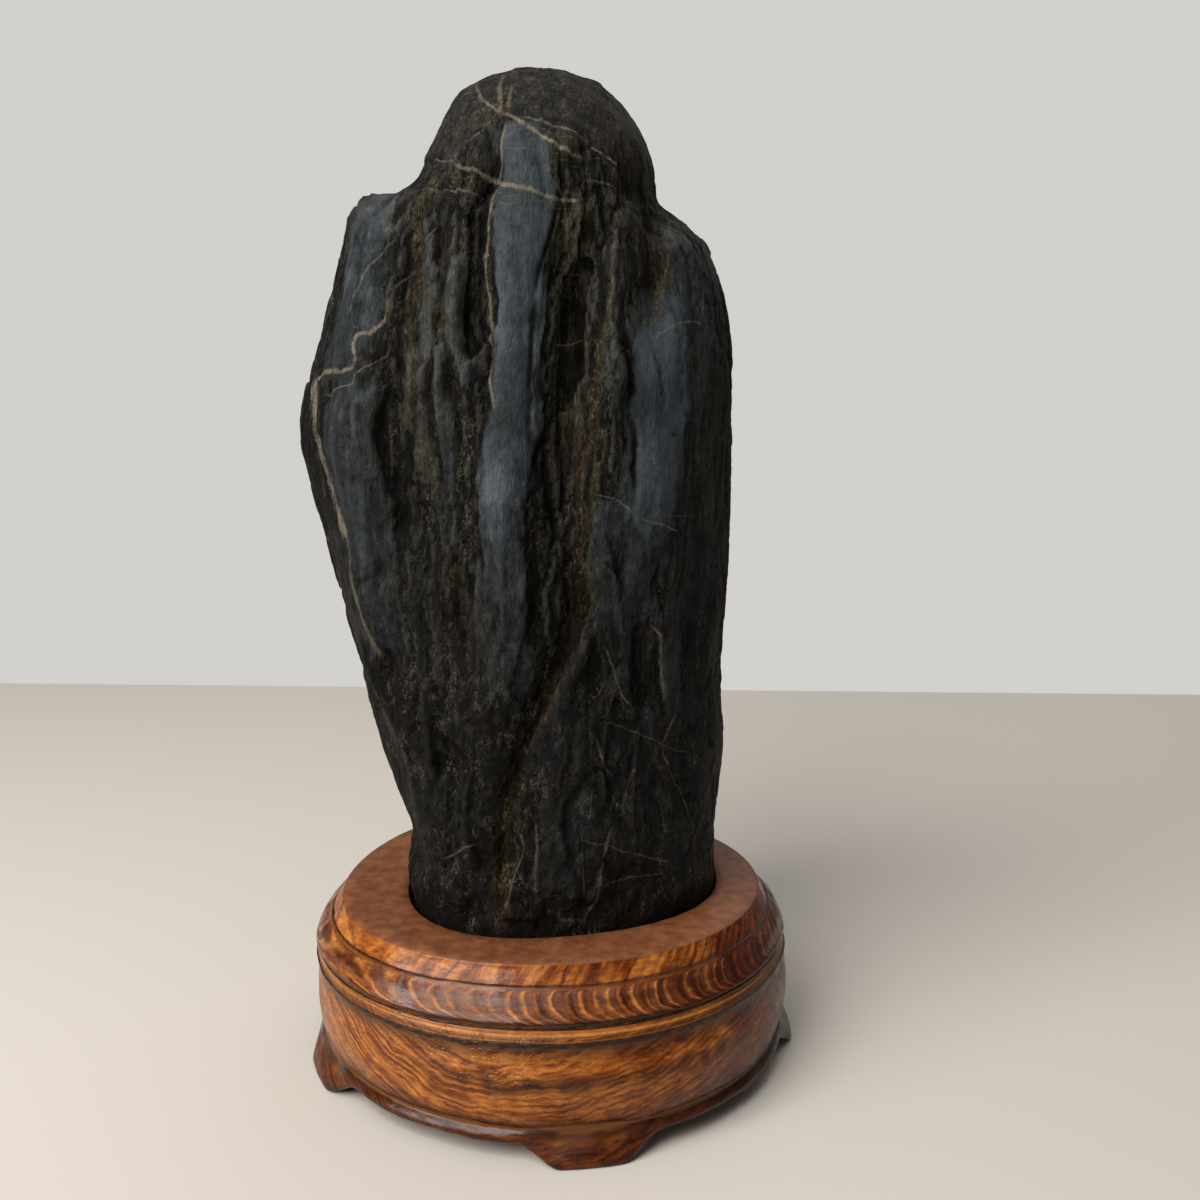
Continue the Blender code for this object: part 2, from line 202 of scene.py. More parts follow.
def inside_box(places: np.ndarray) -> np.ndarray:
    """Keep points, in millimetres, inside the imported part's box."""
    return np.clip(places, np.array(cad_box[0]) / MM, np.array(cad_box[1]) / MM)


def solid_tree(node: str) -> BVHTree:
    """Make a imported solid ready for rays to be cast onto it.

    Args:
        node: the solid's node.

    Returns:
        A search tree of its faces, in millimetres.
    """
    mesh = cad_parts[node].data
    return BVHTree.FromPolygons(
        [v.co / MM for v in mesh.vertices], [tuple(p.vertices) for p in mesh.polygons]
    )


class Cut(Enum):
    """How a line in the stone is shaped across its run."""

    SOFT = "rounded like a fold"
    SHARP = "pinched to an edge or a crack"
    STEP = "a flake's edge: sheer on its right, easing off on its left"

    def shape(self, aside: np.ndarray) -> np.ndarray:
        """Draw the line's height across its run.

        Args:
            aside: how far to the line's right, in half-widths.

        Returns:
            The height, 1 at its middle.
        """
        if self is Cut.SOFT:
            return np.exp(-aside * aside)
        if self is Cut.SHARP:
            return np.exp(-np.abs(aside) * 1.5)
        return np.where(aside > 0.0, np.exp(-aside * 5.0), np.exp(aside * 0.8))


@dataclass(frozen=True)
class Relief:
    """A line that stands proud (lift above 0) or is sunk, with its width to either side."""

    lift: float
    width: float
    cut: Cut
    path: Path


@dataclass(frozen=True)
class Vein:
    """A mineral vein: tint 0 is pale calcite and 1 is ochre; half its width; how solid it is."""

    tint: float
    width: float
    strength: float
    path: Path


@dataclass(frozen=True)
class Zone:
    """Ground along a path that has a finish of its own, to a reach either side."""

    share: float
    reach: float
    path: Path


SMOOTH_GROUND = [       # water-worn ground with little grain; the rest is split and fibrous
    Zone(1.0, 6.8, [(-5, 252), (-1.5, 240), (-3, 219)]),
    Zone(1.0, 6.5, [(-3, 219), (-4.5, 203), (-5, 185), (-7.5, 171)]),
    Zone(0.82, 7.2, [(-7, 180), (-9, 148)]),
    Zone(0.66, 7.4, [(-9, 150), (-9, 122)]),
    Zone(0.82, 10.5, [(-51.5, 186), (-49, 156)]),
    Zone(0.66, 9.0, [(-49.5, 158), (-48, 142), (-46, 132)]),
    Zone(0.8, 10.5, [(-56, 234), (-54, 216), (-58, 202)]),
    Zone(0.72, 2.6, [(-22, 223), (-23.5, 211), (-19, 196)]),
    Zone(0.75, 2.4, [(-33, 232), (-31, 215), (-31, 202)]),
    Zone(0.7, 2.4, [(-26, 202), (-26, 172), (-24.5, 156)]),
    Zone(0.6, 3.0, [(-34, 200), (-34.5, 186), (-33, 172)]),
    Zone(0.4, 3.0, [(27, 236), (26.5, 222)]),
    Zone(0.5, 3.2, [(26.5, 222), (25, 196)]),
    Zone(1.0, 9.6, [(41.5, 208), (39, 166)]),
    Zone(0.65, 9.0, [(58, 228), (56, 214), (55, 196)]),
    Zone(0.6, 11.0, [(56, 198), (58, 140)]),
    Zone(0.75, 4.0, [(23, 162), (22, 148), (23, 138)]),
    Zone(0.76, 7.4, [(37.5, 162), (36, 150), (33, 140)]),
    Zone(0.65, 4.4, [(32, 146), (29, 118)]),
    Zone(0.7, 4.6, [(49.5, 140), (49, 124), (50, 110)]),
    Zone(0.5, 7.5, [(-37, 92), (-32, 52)]),
    Zone(0.6, 4.6, [(-19, 68), (-20, 54)]),
    Zone(0.6, 8.0, [(14, 110), (12, 88), (8, 62)]),
    Zone(0.6, 9.0, [(34, 104), (33, 80), (30, 56)]),
    Zone(0.55, 10.0, [(54, 104), (52, 56)]),
    Zone(0.45, 8.0, [(-30, 128), (-27, 110), (-22, 92)]),
    Zone(0.55, 7.0, [(-66, 150), (-66, 128), (-61, 108), (-54, 88), (-50, 62)]),
    Zone(0.5, 14.0, [(72, 224), (76, 140), (78, 60)]),
    Zone(0.8, 14.0, [(150, 220), (156, 170), (150, 120)]),
    Zone(0.6, 12.0, [(112, 226), (108, 170), (112, 110)]),
    Zone(0.6, 12.0, [(178, 232), (182, 170), (178, 84)]),
    Zone(0.8, 13.0, [(-140, 200), (-148, 150), (-140, 96)]),
    Zone(0.7, 13.0, [(-100, 212), (-98, 160), (-102, 100)]),
]
RUST = [                # iron stain that has run down the clefts
    Zone(1.0, 1.6, [
        (21, 199), (15.5, 168), (16, 160), (15, 152), (16.5, 146), (16, 139), (13, 129), (10, 124)
    ]),
    Zone(1.0, 2.0, [(10, 124), (5, 110.5), (0, 104), (-5, 95.5)]),
    Zone(0.9, 2.3, [(-5, 95), (-9, 84), (-11, 64), (-13, 52)]),
    Zone(0.55, 1.8, [(-36, 236), (-36.5, 226), (-36, 220), (-36, 212)]),
    Zone(0.4, 2.6, [(49, 231), (48, 225), (44, 213.5)]),
    Zone(0.8, 1.5, [(-13, 82), (-12, 81.5)]),
    Zone(0.7, 1.3, [(38.5, 78.5), (40, 78)]),
    Zone(0.6, 1.2, [(41, 51.5), (42, 50)]),
    Zone(0.5, 1.0, [(59.5, 55.5), (60, 55)]),
    Zone(0.5, 4.0, [(82, 150), (84, 110), (84, 70)]),
    Zone(0.3, 6.0, [(28, 264), (40, 256), (46, 248)]),
    Zone(0.5, 3.2, [(-62, 122), (-58, 104)]),
    Zone(0.5, 2.2, [(168, 200), (174, 160), (169, 120)]),
    Zone(0.5, 1.8, [(-130, 204), (-134, 164), (-127, 120)]),
]
OLIVE = [               # thin weathering crust, dull yellow-brown
    Zone(0.9, 3.2, [(-74, 150), (-72, 134), (-68, 118), (-55, 90), (-48, 72)]),
    Zone(1.0, 1.9, [(-36, 243), (-35.5, 238), (-36.5, 226)]),
    Zone(0.85, 1.7, [(-36.5, 226), (-35.5, 204)]),
    Zone(0.7, 2.2, [(-34.5, 203), (-33.5, 178), (-32, 168)]),
    Zone(0.95, 1.0, [(30.5, 235.5), (27, 232), (26, 228), (21, 199)]),
    Zone(0.8, 2.2, [(49, 231), (48, 225), (44, 213.5), (39, 211), (35.5, 210)]),
    Zone(0.8, 1.6, [(56.5, 233), (64, 230)]),
    Zone(0.7, 1.6, [(20.5, 182), (19, 158), (19, 136)]),
    Zone(0.6, 3.0, [(-11.5, 80), (-12.5, 60), (-14, 52)]),
    Zone(0.5, 5.0, [(12, 236), (12, 196), (10, 176)]),
    Zone(0.3, 5.0, [(-27, 226), (-29, 186)]),
    Zone(0.35, 7.0, [(-22, 150), (-22, 132), (-20, 112)]),
    Zone(0.6, 4.0, [(34, 243), (32, 214)]),
    Zone(0.55, 5.0, [(45, 226), (44, 218), (40, 213)]),
    Zone(0.5, 7.0, [(62, 200), (68, 180), (66, 160)]),
    Zone(0.5, 8.0, [(80, 120), (80, 90), (78, 60)]),
    Zone(0.6, 3.0, [(-43, 236), (-46, 233)]),
    Zone(0.4, 9.0, [(-120, 220), (-118, 180), (-124, 130)]),
    Zone(0.4, 8.0, [(128, 200), (130, 150), (126, 90)]),
]
RELIEFS = [
    # cleft down the left of the slab and the splinters beside it
    Relief(-2.6, 1.0, Cut.SHARP, [
        (-12.5, 257), (-12, 248.5), (-14.5, 242.5), (-17, 215), (-16, 210.5), (-12.5, 200.5),
        (-11, 194)
    ]),
    Relief(0.9, 0.9, Cut.SHARP, [(-13.5, 245), (-14.5, 225.5), (-14, 212)]),
    Relief(-2.0, 1.3, Cut.SHARP, [(-18, 236.5), (-19.5, 215.5), (-19, 210.5), (-16, 200.5)]),
    Relief(-2.2, 1.5, Cut.SHARP, [(-25.5, 232), (-25.5, 220), (-30.5, 193.5)]),
    Relief(1.3, 1.3, Cut.SOFT, [(-22, 223), (-24, 212), (-18, 190.5)]),
    Relief(1.2, 1.2, Cut.SOFT, [(-24.5, 209.5), (-26.5, 205.5), (-28, 186)]),
    Relief(-2.0, 1.5, Cut.SHARP, [(-24, 207.5), (-24.5, 198.5), (-23, 186)]),
    Relief(-2.4, 1.0, Cut.SHARP, [(-39, 231.5), (-37, 205)]),
    Relief(-2.2, 2.2, Cut.SOFT, [(-41.5, 239.5), (-43.5, 236.5), (-45, 230)]),
    # the left shoulder stands square, under a pinched neck
    Relief(3.1, 6.4, Cut.SOFT, [(-92, 235), (-76, 236.5), (-62, 237), (-54, 236)]),
    Relief(-3.2, 3.6, Cut.SOFT, [(-96, 246), (-62, 245.5), (-50, 243)]),
    # the lower stone: long splinters that lap over one another
    Relief(1.8, 1.7, Cut.STEP, [(28, 120), (25, 108), (24, 96), (26, 84)]),
    Relief(1.5, 2.6, Cut.SOFT, [(-40, 84), (-35, 60)]),
    Relief(1.3, 2.2, Cut.SOFT, [(6, 92), (5, 82), (6.5, 70), (5, 58)]),
    Relief(1.2, 2.4, Cut.SOFT, [(17, 112), (15, 88)]),
    Relief(-1.1, 0.9, Cut.SHARP, [(26.5, 118), (23.5, 108), (22.5, 96)]),
    Relief(1.8, 1.8, Cut.STEP, [(40, 108), (37, 96), (36, 82), (38, 70)]),
    Relief(-1.1, 0.9, Cut.SHARP, [(38.5, 106), (35.5, 96), (34.5, 84)]),
    Relief(1.7, 1.7, Cut.STEP, [(12, 104), (9.5, 92), (10, 80), (12, 68)]),
    Relief(-1.0, 0.9, Cut.SHARP, [(10.5, 103), (8, 92), (8, 82)]),
    Relief(1.7, 1.8, Cut.STEP, [(52, 118), (50, 104), (51, 90), (54, 76)]),
    Relief(1.8, 1.7, Cut.STEP, [(-20, 100), (-23, 88), (-22, 76), (-19, 66)]),
    Relief(-1.2, 1.0, Cut.SHARP, [(-21.5, 99), (-24.5, 88), (-24, 78)]),
    Relief(1.7, 1.6, Cut.STEP, [(-33, 112), (-35, 102), (-34.5, 90)]),
    Relief(-1.1, 1.0, Cut.SHARP, [(-27, 92), (-29, 82), (-28, 72), (-25, 64)]),
    # left lobe: a pit, the crack below it and the dark fall to its right
    Relief(-1.7, 0.7, Cut.SHARP, [(-50.5, 189.5), (-49.5, 182.5)]),
    Relief(-0.9, 0.7, Cut.SHARP, [(-49.5, 185), (-48, 175.5), (-48.5, 165)]),
    Relief(-1.6, 4.0, Cut.SOFT, [(-40, 206), (-40, 190), (-38, 156)]),
    Relief(-2.6, 2.4, Cut.SOFT, [(-41.5, 199), (-42, 178), (-41, 163)]),
    Relief(1.2, 1.0, Cut.STEP, [(-40, 192), (-40, 174), (-41.5, 155), (-39, 135)]),
    Relief(-0.8, 0.8, Cut.SHARP, [(-46.5, 158), (-44.5, 144)]),
    Relief(1.2, 1.2, Cut.STEP, [(-34.5, 182), (-37, 160)]),
    Relief(1.6, 1.5, Cut.STEP, [
        (-30, 182.5), (-30, 176.5), (-28.5, 171), (-28.5, 166), (-27.5, 160.5), (-26, 157.5),
        (-24.5, 152.5), (-24, 147), (-25.5, 139)
    ]),
    Relief(-1.6, 1.3, Cut.SHARP, [(-37, 169.5), (-35.5, 163.5), (-32, 153.5), (-31.5, 144)]),
    Relief(-1.6, 1.0, Cut.SHARP, [
        (-17, 192), (-18, 180.5), (-17, 171.5), (-18.5, 163.5), (-15.5, 158), (-15.5, 153),
        (-17.5, 146), (-16.5, 136)
    ]),
    Relief(-2.2, 1.8, Cut.SOFT, [(-43.5, 152.5), (-44.5, 147.5), (-44, 143)]),
    # the slab's right edge, the splintered wall of the trench and its depths
    Relief(-1.6, 2.6, Cut.SOFT, [
        (14.5, 250), (10.5, 232), (4.5, 216), (3.5, 208), (1.5, 148), (2, 134)
    ]),
    Relief(-1.2, 1.2, Cut.STEP, [(10.5, 246), (7.5, 232), (1.5, 216), (0, 200), (0, 178)]),
    Relief(1.1, 0.9, Cut.STEP, [
        (15, 236), (11, 230.5), (10.5, 225.5), (8, 219), (5, 214.5), (2, 197.5)
    ]),
    Relief(1.2, 0.9, Cut.STEP, [
        (17, 236), (14.5, 229.5), (15, 222), (14.5, 218), (9, 210.5), (6.5, 196)
    ]),
    Relief(1.0, 0.8, Cut.STEP, [(12.5, 216), (10, 205), (10, 196), (7, 176)]),
    Relief(-1.4, 2.0, Cut.SOFT, [(19, 236), (19.5, 226.5), (16.5, 206)]),
    Relief(-1.6, 1.3, Cut.SHARP, [(22.5, 236), (21.5, 222), (19.5, 217)]),
    Relief(-1.1, 1.8, Cut.SOFT, [(16.5, 203), (14, 197), (13, 190), (11, 184)]),
    Relief(1.1, 0.9, Cut.SHARP, [(28, 232.5), (26, 227), (21, 192)]),
    Relief(-1.8, 1.1, Cut.SHARP, [(29.5, 219), (28.5, 212), (28.5, 202.5), (31, 188)]),
    # right lobe: crack, long groove, and the torn ground under the shoulder
    Relief(-0.9, 0.6, Cut.SHARP, [
        (37.5, 205.5), (39.5, 200.5), (40.5, 196), (42, 192.5), (42.5, 190.5), (41, 188.5)
    ]),
    Relief(-1.9, 0.9, Cut.SHARP, [(29.5, 193), (31.5, 184), (32.5, 176.5), (32, 165)]),
    Relief(-1.6, 2.0, Cut.SOFT, [(48, 228), (46, 220), (42.5, 213)]),
    Relief(-2.4, 2.6, Cut.SOFT, [(56, 234.5), (51.5, 232), (48, 229)]),
    Relief(0.9, 1.6, Cut.SOFT, [(58.5, 238), (74, 227)]),
    Relief(-1.2, 1.1, Cut.SHARP, [(25, 160.5), (29, 141)]),
    Relief(-1.3, 1.3, Cut.SHARP, [
        (43.5, 157.5), (44.5, 153), (42.5, 150), (41, 145), (43, 139), (43.5, 133)
    ]),
    Relief(0.8, 1.0, Cut.STEP, [(46.5, 156), (47.5, 136), (47, 126)]),
    # the rusty cleft that crosses to the left foot, with a bright ridge on its right
    Relief(-1.9, 1.3, Cut.SHARP, [
        (17.5, 183), (15, 166), (16, 158), (15, 151), (16, 144), (15.5, 137), (13, 129), (7.5, 120),
        (4, 110), (-1, 104), (-10, 84), (-13, 54)
    ]),
    Relief(2.2, 1.8, Cut.SOFT, [
        (18.5, 136), (17, 129), (11, 120), (5.5, 109), (1.5, 103), (-3, 92)
    ]),
    Relief(1.0, 1.1, Cut.STEP, [(20.5, 184), (18.5, 163), (19, 140)]),
    Relief(-1.4, 1.1, Cut.SHARP, [(42, 129), (44, 113), (46.5, 106)]),
    Relief(-1.2, 1.2, Cut.SHARP, [(33.5, 136), (35.5, 126), (34.5, 117), (36, 108)]),
    Relief(-1.0, 0.9, Cut.SHARP, [(23, 129), (25, 121), (28.5, 114), (32.5, 108)]),
    # lower left: hollows between splinters, and the long edge of the chamfer
    Relief(-2.8, 2.0, Cut.SOFT, [(-46.5, 126), (-48, 116.5)]),
    Relief(0.9, 0.8, Cut.SHARP, [(-44, 125), (-47, 113.5)]),
    Relief(-1.5, 1.2, Cut.SHARP, [(-33, 127), (-32.5, 119), (-30.5, 113.5), (-31, 105)]),
    Relief(-1.4, 1.1, Cut.SHARP, [(-27, 127), (-27, 121), (-29.5, 107)]),
    Relief(-2.2, 2.0, Cut.SOFT, [(-31, 99), (-33.5, 92)]),
    Relief(-1.3, 1.1, Cut.SHARP, [(-6, 116), (-10.5, 99)]),
    Relief(-1.2, 1.1, Cut.SHARP, [(-22, 140), (-20, 118), (-21, 108)]),
    Relief(-1.1, 1.0, Cut.SHARP, [(-38.5, 132), (-39, 122), (-37, 104)]),
    Relief(1.0, 1.6, Cut.SOFT, [(-57, 133), (-56, 121), (-52.5, 109), (-43.5, 92), (-37, 70)]),
    # the foot of the stone
    Relief(-1.6, 1.5, Cut.SHARP, [(-33.5, 68), (-31, 63), (-24, 60.5), (-20.5, 61)]),
    Relief(-1.5, 1.5, Cut.SHARP, [(-20.5, 61), (-25.5, 52)]),
    Relief(-1.3, 1.2, Cut.SHARP, [(-1, 81), (-2, 61), (-1, 54)]),
    Relief(0.9, 1.1, Cut.SHARP, [(1.5, 80), (2, 70), (0, 53)]),
    Relief(0.8, 1.0, Cut.SHARP, [(-6, 79), (-4, 73.5), (-8.5, 60), (-12, 54.5)]),
    Relief(-0.8, 1.0, Cut.SHARP, [(20, 88), (18.5, 66), (19.5, 56)]),
    # round the back
    Relief(-2.2, 1.5, Cut.SHARP, [(172, 240), (168, 200), (175, 160), (169, 120), (171, 84)]),
    Relief(-1.8, 1.4, Cut.SHARP, [(-133, 236), (-128, 204), (-134, 168), (-127, 112)]),
    Relief(-1.6, 1.3, Cut.SHARP, [(120, 232), (116, 196), (122, 150), (114, 96)]),
    Relief(1.4, 1.6, Cut.STEP, [(140, 228), (146, 190), (139, 150), (143, 100)]),
    Relief(1.3, 1.5, Cut.STEP, [(-160, 230), (-166, 190), (-158, 150), (-163, 96)]),
    Relief(-1.4, 1.2, Cut.SHARP, [(96, 214), (99, 180), (95, 140), (98, 100)]),
    Relief(-1.4, 1.2, Cut.SHARP, [(-104, 216), (-108, 180), (-103, 140), (-108, 96)]),
]
VEINS = [
    Vein(0.7, 0.5, 0.85, [(-39.5, 267), (-22.5, 261.5), (-15.5, 258.5), (-13, 258)]),
    Vein(0.55, 0.6, 1.0, [
        (-13, 258), (-8, 257.5), (-2, 255.5), (3, 252.5), (7, 251), (12, 249), (18, 247.5)
    ]),
    Vein(0.35, 0.4, 0.8, [(-4.5, 257.5), (2, 257), (13.5, 254), (18.5, 252.5), (36, 245.5)]),
    Vein(0.6, 0.6, 0.7, [(-13.5, 258), (-15.5, 262), (-19, 265.5), (-23.5, 269)]),
    Vein(0.6, 0.6, 0.6, [(-10, 258), (-11, 262), (-13.5, 266)]),
    Vein(0.1, 0.2, 0.5, [(-14.5, 258), (-24.5, 251)]),
    Vein(0.1, 0.18, 0.45, [(-19.5, 260), (-23.5, 258), (-26, 256)]),
    Vein(0.35, 0.55, 0.9, [
        (-26.5, 245.5), (-21, 244.5), (-13.5, 242), (-9.5, 241), (-2, 240), (6.5, 238.5),
        (15, 237.5)
    ]),
    Vein(0.25, 0.3, 0.6, [(-45.5, 248.5), (-27.5, 246.5), (-26, 245.5)]),
    Vein(0.25, 0.35, 0.5, [(-36.5, 240.5), (-22, 240), (-15.5, 238)]),
    Vein(0.1, 0.14, 0.45, [(-10, 249.5), (-5, 249), (0, 249.5)]),
    Vein(0.35, 0.28, 0.6, [(18, 243), (33.5, 241)]),
    Vein(0.1, 0.14, 0.4, [(-11.5, 237), (-6.5, 236.5), (-3.5, 237)]),
    Vein(0.4, 0.42, 0.75, [(-10.5, 255.5), (-11, 245), (-13.5, 238), (-15, 224)]),
    Vein(0.4, 0.42, 0.75, [
        (-14, 230), (-14.5, 225.5), (-14, 215.5), (-14.5, 210.5), (-13, 207), (-11, 188.5)
    ]),
    Vein(0.45, 0.62, 0.9, [
        (-41, 215), (-43, 210), (-45, 208), (-47.5, 206), (-51.5, 205.5), (-52, 203), (-51, 200),
        (-52, 197.5), (-55.5, 196), (-63.5, 196), (-68, 194.5), (-68.5, 191.5)
    ]),
    Vein(0.45, 1.9, 0.95, [
        (-69, 194.5), (-65.5, 182), (-64.5, 176), (-62.5, 170.5), (-60.5, 166.5), (-59.5, 162),
        (-58, 158), (-54, 155)
    ]),
    Vein(0.5, 0.9, 0.7, [(-57, 160), (-54.5, 151), (-53.5, 141), (-51.5, 131), (-49, 122)]),
    Vein(0.15, 0.2, 0.6, [
        (-40.5, 203), (-43, 200.5), (-48, 197.5), (-50, 195.5), (-50, 193.5), (-61.5, 190.5)
    ]),
    Vein(0.2, 0.28, 0.4, [
        (-41.5, 229.5), (-43.5, 227), (-46, 224.5), (-50, 222), (-52, 220), (-52.5, 217),
        (-55, 214), (-56.5, 210)
    ]),
    Vein(0.1, 0.25, 0.5, [(-28.5, 231.5), (-30.5, 229), (-34, 227)]),
    Vein(0.15, 0.25, 0.5, [(-37.5, 220.5), (-40.5, 217)]),
    Vein(0.2, 0.3, 0.6, [(39, 204.5), (42, 207), (45, 208), (49.5, 209), (56.5, 209), (60, 208)]),
    Vein(0.45, 0.32, 0.5, [(63.5, 217.5), (62, 213.5), (59.5, 209.5)]),
    Vein(0.15, 0.25, 0.45, [(7, 203.5), (12.5, 203.5), (16.5, 205)]),
    Vein(0.2, 0.25, 0.55, [(19.5, 167.5), (25, 166), (29.5, 164), (31.5, 162.5)]),
    Vein(0.15, 0.2, 0.5, [
        (34, 165), (34.5, 163.5), (34, 162), (35, 161), (43.5, 158.5), (49, 156)
    ]),
    Vein(0.15, 0.16, 0.35, [(39.5, 162.5), (49, 160.5), (61, 159)]),
    Vein(0.4, 0.36, 0.6, [(23, 128.5), (28, 118), (30.5, 114.5), (36, 110)]),
    Vein(0.65, 0.4, 0.6, [(40, 133), (42.5, 130), (43.5, 126.5), (45, 112.5)]),
    Vein(0.2, 0.2, 0.6, [(24, 108), (42, 101.5), (54.5, 96), (61, 94)]),
    Vein(0.3, 0.38, 0.65, [(21, 104), (25, 96), (27.5, 93)]),
    Vein(0.1, 0.15, 0.45, [(24.5, 106), (27, 102.5)]),
    Vein(0.45, 0.32, 0.6, [(49.5, 107), (49, 104), (47.5, 99), (48.5, 95), (52, 90.5)]),
    Vein(0.3, 0.3, 0.65, [(39, 95), (36, 93.5), (34, 89.5), (33, 86.5), (31, 83.5)]),
    Vein(0.15, 0.15, 0.4, [(65.5, 118.5), (63.5, 116), (61, 114)]),
    Vein(0.1, 0.15, 0.4, [(60.5, 106), (62.5, 97.5), (62, 89.5)]),
    Vein(0.1, 0.25, 0.6, [(-33, 68), (-27.5, 71), (-22.5, 74.5), (-18.5, 75)]),
    Vein(0.35, 0.3, 0.6, [(-6.5, 79), (-4, 74), (-8, 61), (-12.5, 55.5)]),
    Vein(0.4, 0.36, 0.6, [(0.5, 81.5), (1.5, 75.5), (0, 61)]),
    Vein(0.45, 0.5, 0.8, [(28.5, 78.5), (23.5, 63), (23, 58), (19.5, 50)]),
    Vein(0.5, 0.22, 0.7, [(18, 75), (26, 73.5), (42.5, 68), (54, 64.5)]),
    Vein(0.3, 0.2, 0.65, [(24.5, 62.5), (50.5, 62)]),
    Vein(0.3, 0.22, 0.5, [
        (50, 93), (54, 88.5), (59.5, 80.5), (66.5, 67), (67.5, 59.5), (69.5, 53.5)
    ]),
    Vein(0.2, 0.18, 0.45, [(20.5, 89.5), (20.5, 82.5), (18.5, 76.5), (18, 70.5), (18.5, 60)]),
    Vein(0.15, 0.2, 0.4, [(5, 60), (9.5, 60.5)]),
    Vein(0.8, 0.6, 0.5, [(9, 53), (15.5, 52), (19.5, 52)]),
]


@dataclass(frozen=True)
class Grain:
    """One size of grain: its width and depth in millimetres, and its width against its length."""

    width: float
    depth: float
    shortness: float

    def count(self, places: np.ndarray) -> np.ndarray:
        """Turn millimetres into grains, which run long up the stone."""
        return places * (1.0, 1.0, self.shortness) / self.width

    def waves(self, places: np.ndarray) -> np.ndarray:
        """Read this grain as soft waves in millimetres."""
        return self.depth * sample(self.count(places), noise.noise)


FOLD, TILT = Grain(8.0, 0.8, 0.2), Grain(3.6, 0.4, 0.15)
SPLITS = [Grain(7.5, 0.9, 0.14), Grain(3.6, 0.4, 0.2), Grain(1.9, 0.35, 0.3)]
FLAKES = [Grain(8.5, 0.75, 0.3), Grain(4.2, 0.4, 0.24)]
SWELL, FLUTE, PILLOW = Grain(9.0, 0.4, 0.45), Grain(5.0, 0.4, 0.16), Grain(15.0, 1.0, 0.45)
PIT = Grain(2.2, 1.0, 1.0)
RAGGED = [Grain(4.0, 1.0, 0.4), Grain(1.7, 0.6, 0.4)]
WANDER = [Grain(9.0, 0.9, 1.0), Grain(3.0, 0.35, 1.0)]


@dataclass
class StoneGrid:
    """A sheet of points over the stone: rows climb from foot to crown, columns go round it."""

    bearings: np.ndarray
    points: np.ndarray

    def blurred(self, values: np.ndarray, round_passes: int, climb_passes: int) -> np.ndarray:
        """Even values out over neighbouring columns and rows, leaving the end rows alone.

        Args:
            values: one entry or more for each row and column.
            round_passes: passes from column to column.
            climb_passes: passes from row to row.

        Returns:
            The evened values.
        """
        out = values.copy()
        for _ in range(round_passes):
            out = (np.roll(out, 1, 1) + 2.0 * out + np.roll(out, -1, 1)) / 4.0
        for _ in range(climb_passes):
            out[1:-1] = (out[:-2] + 2.0 * out[1:-1] + out[2:]) / 4.0
        return out

    def proud(self, round_passes: int, climb_passes: int) -> np.ndarray:
        """Measure how far every point stands out from the ground round it, evened in passes."""
        even = self.blurred(self.points, round_passes, climb_passes)
        return ((self.points - even) * self.normals()).sum(2)

    def normals(self) -> np.ndarray:
        """Find the outward direction at every point.

        Returns:
            Directions of length 1, laid out as the points are.
        """
        across = np.roll(self.points, -1, 1) - np.roll(self.points, 1, 1)
        up = np.gradient(self.points, axis=0)
        out = np.cross(across, up)
        return out / np.maximum(np.linalg.norm(out, axis=2, keepdims=True), 1e-9)

    def resampled(self, bearings: np.ndarray) -> "StoneGrid":
        """Draw the same sheet with columns at other bearings.

        Args:
            bearings: the new columns' bearings.

        Returns:
            The new sheet.
        """
        place = np.mod(bearings - self.bearings[0], 360.0) / 360.0 * len(self.bearings)
        first = np.floor(place).astype(int) % len(self.bearings)
        share = (place - np.floor(place))[None, :, None]
        after = (first + 1) % len(self.bearings)
        points = self.points[:, first] * (1.0 - share) + self.points[:, after] * share
        return StoneGrid(bearings, points)

    def spot(self, bearing: float, height: float) -> np.ndarray:
        """Find the point of the sheet at a bearing and height.

        Args:
            bearing: degrees round the sheet.
            height: millimetres above the floor.

        Returns:
            The point.
        """
        place = (bearing - self.bearings[0]) % 360.0 / 360.0 * len(self.bearings)
        first = int(place) % len(self.bearings)
        found = []
        for column in (first, (first + 1) % len(self.bearings)):
            line = self.points[:, column]
            climb = np.maximum.accumulate(line[:, 2])
            found.append([np.interp(height, climb, line[:, axis]) for axis in range(3)])
        share = place - int(place)
        return np.array(found[0]) * (1.0 - share) + np.array(found[1]) * share

    def trace(self, path: Path, stride: float = 3.0) -> np.ndarray:
        """Lay a path on the sheet.

        Args:
            path: the bearings and heights that it passes through.
            stride: the longest step along it, in millimetres.

        Returns:
            The points of the path.
        """
        laid: list[np.ndarray] = []
        spots = [self.spot(*place) for place in path]
        for (here, there), start, end in zip(zip(path, path[1:]), spots, spots[1:]):
            steps = max(1, math.ceil(float(np.linalg.norm(end - start)) / stride))
            for step in range(steps):
                share = step / steps
                laid.append(self.spot(
                    here[0] + (there[0] - here[0]) * share, here[1] + (there[1] - here[1]) * share
                ))
        laid.append(spots[-1])
        return np.array(laid)


@dataclass
class Reach:
    """The points near a line, how far to its right each lies, and how far along the line."""

    near: np.ndarray
    aside: np.ndarray
    along: np.ndarray
    length: float

    def taper(self, run: float) -> np.ndarray:
        """Fade out towards both ends of the line.

        Args:
            run: how long each fade is, in millimetres.

        Returns:
            A share from 0 to 1 for each point near the line.
        """
        run = min(run, self.length / 2.0)
        ends = np.minimum(self.along, self.length - self.along)
        return smoothstep(0.0, run, ends + 0.15 * run)


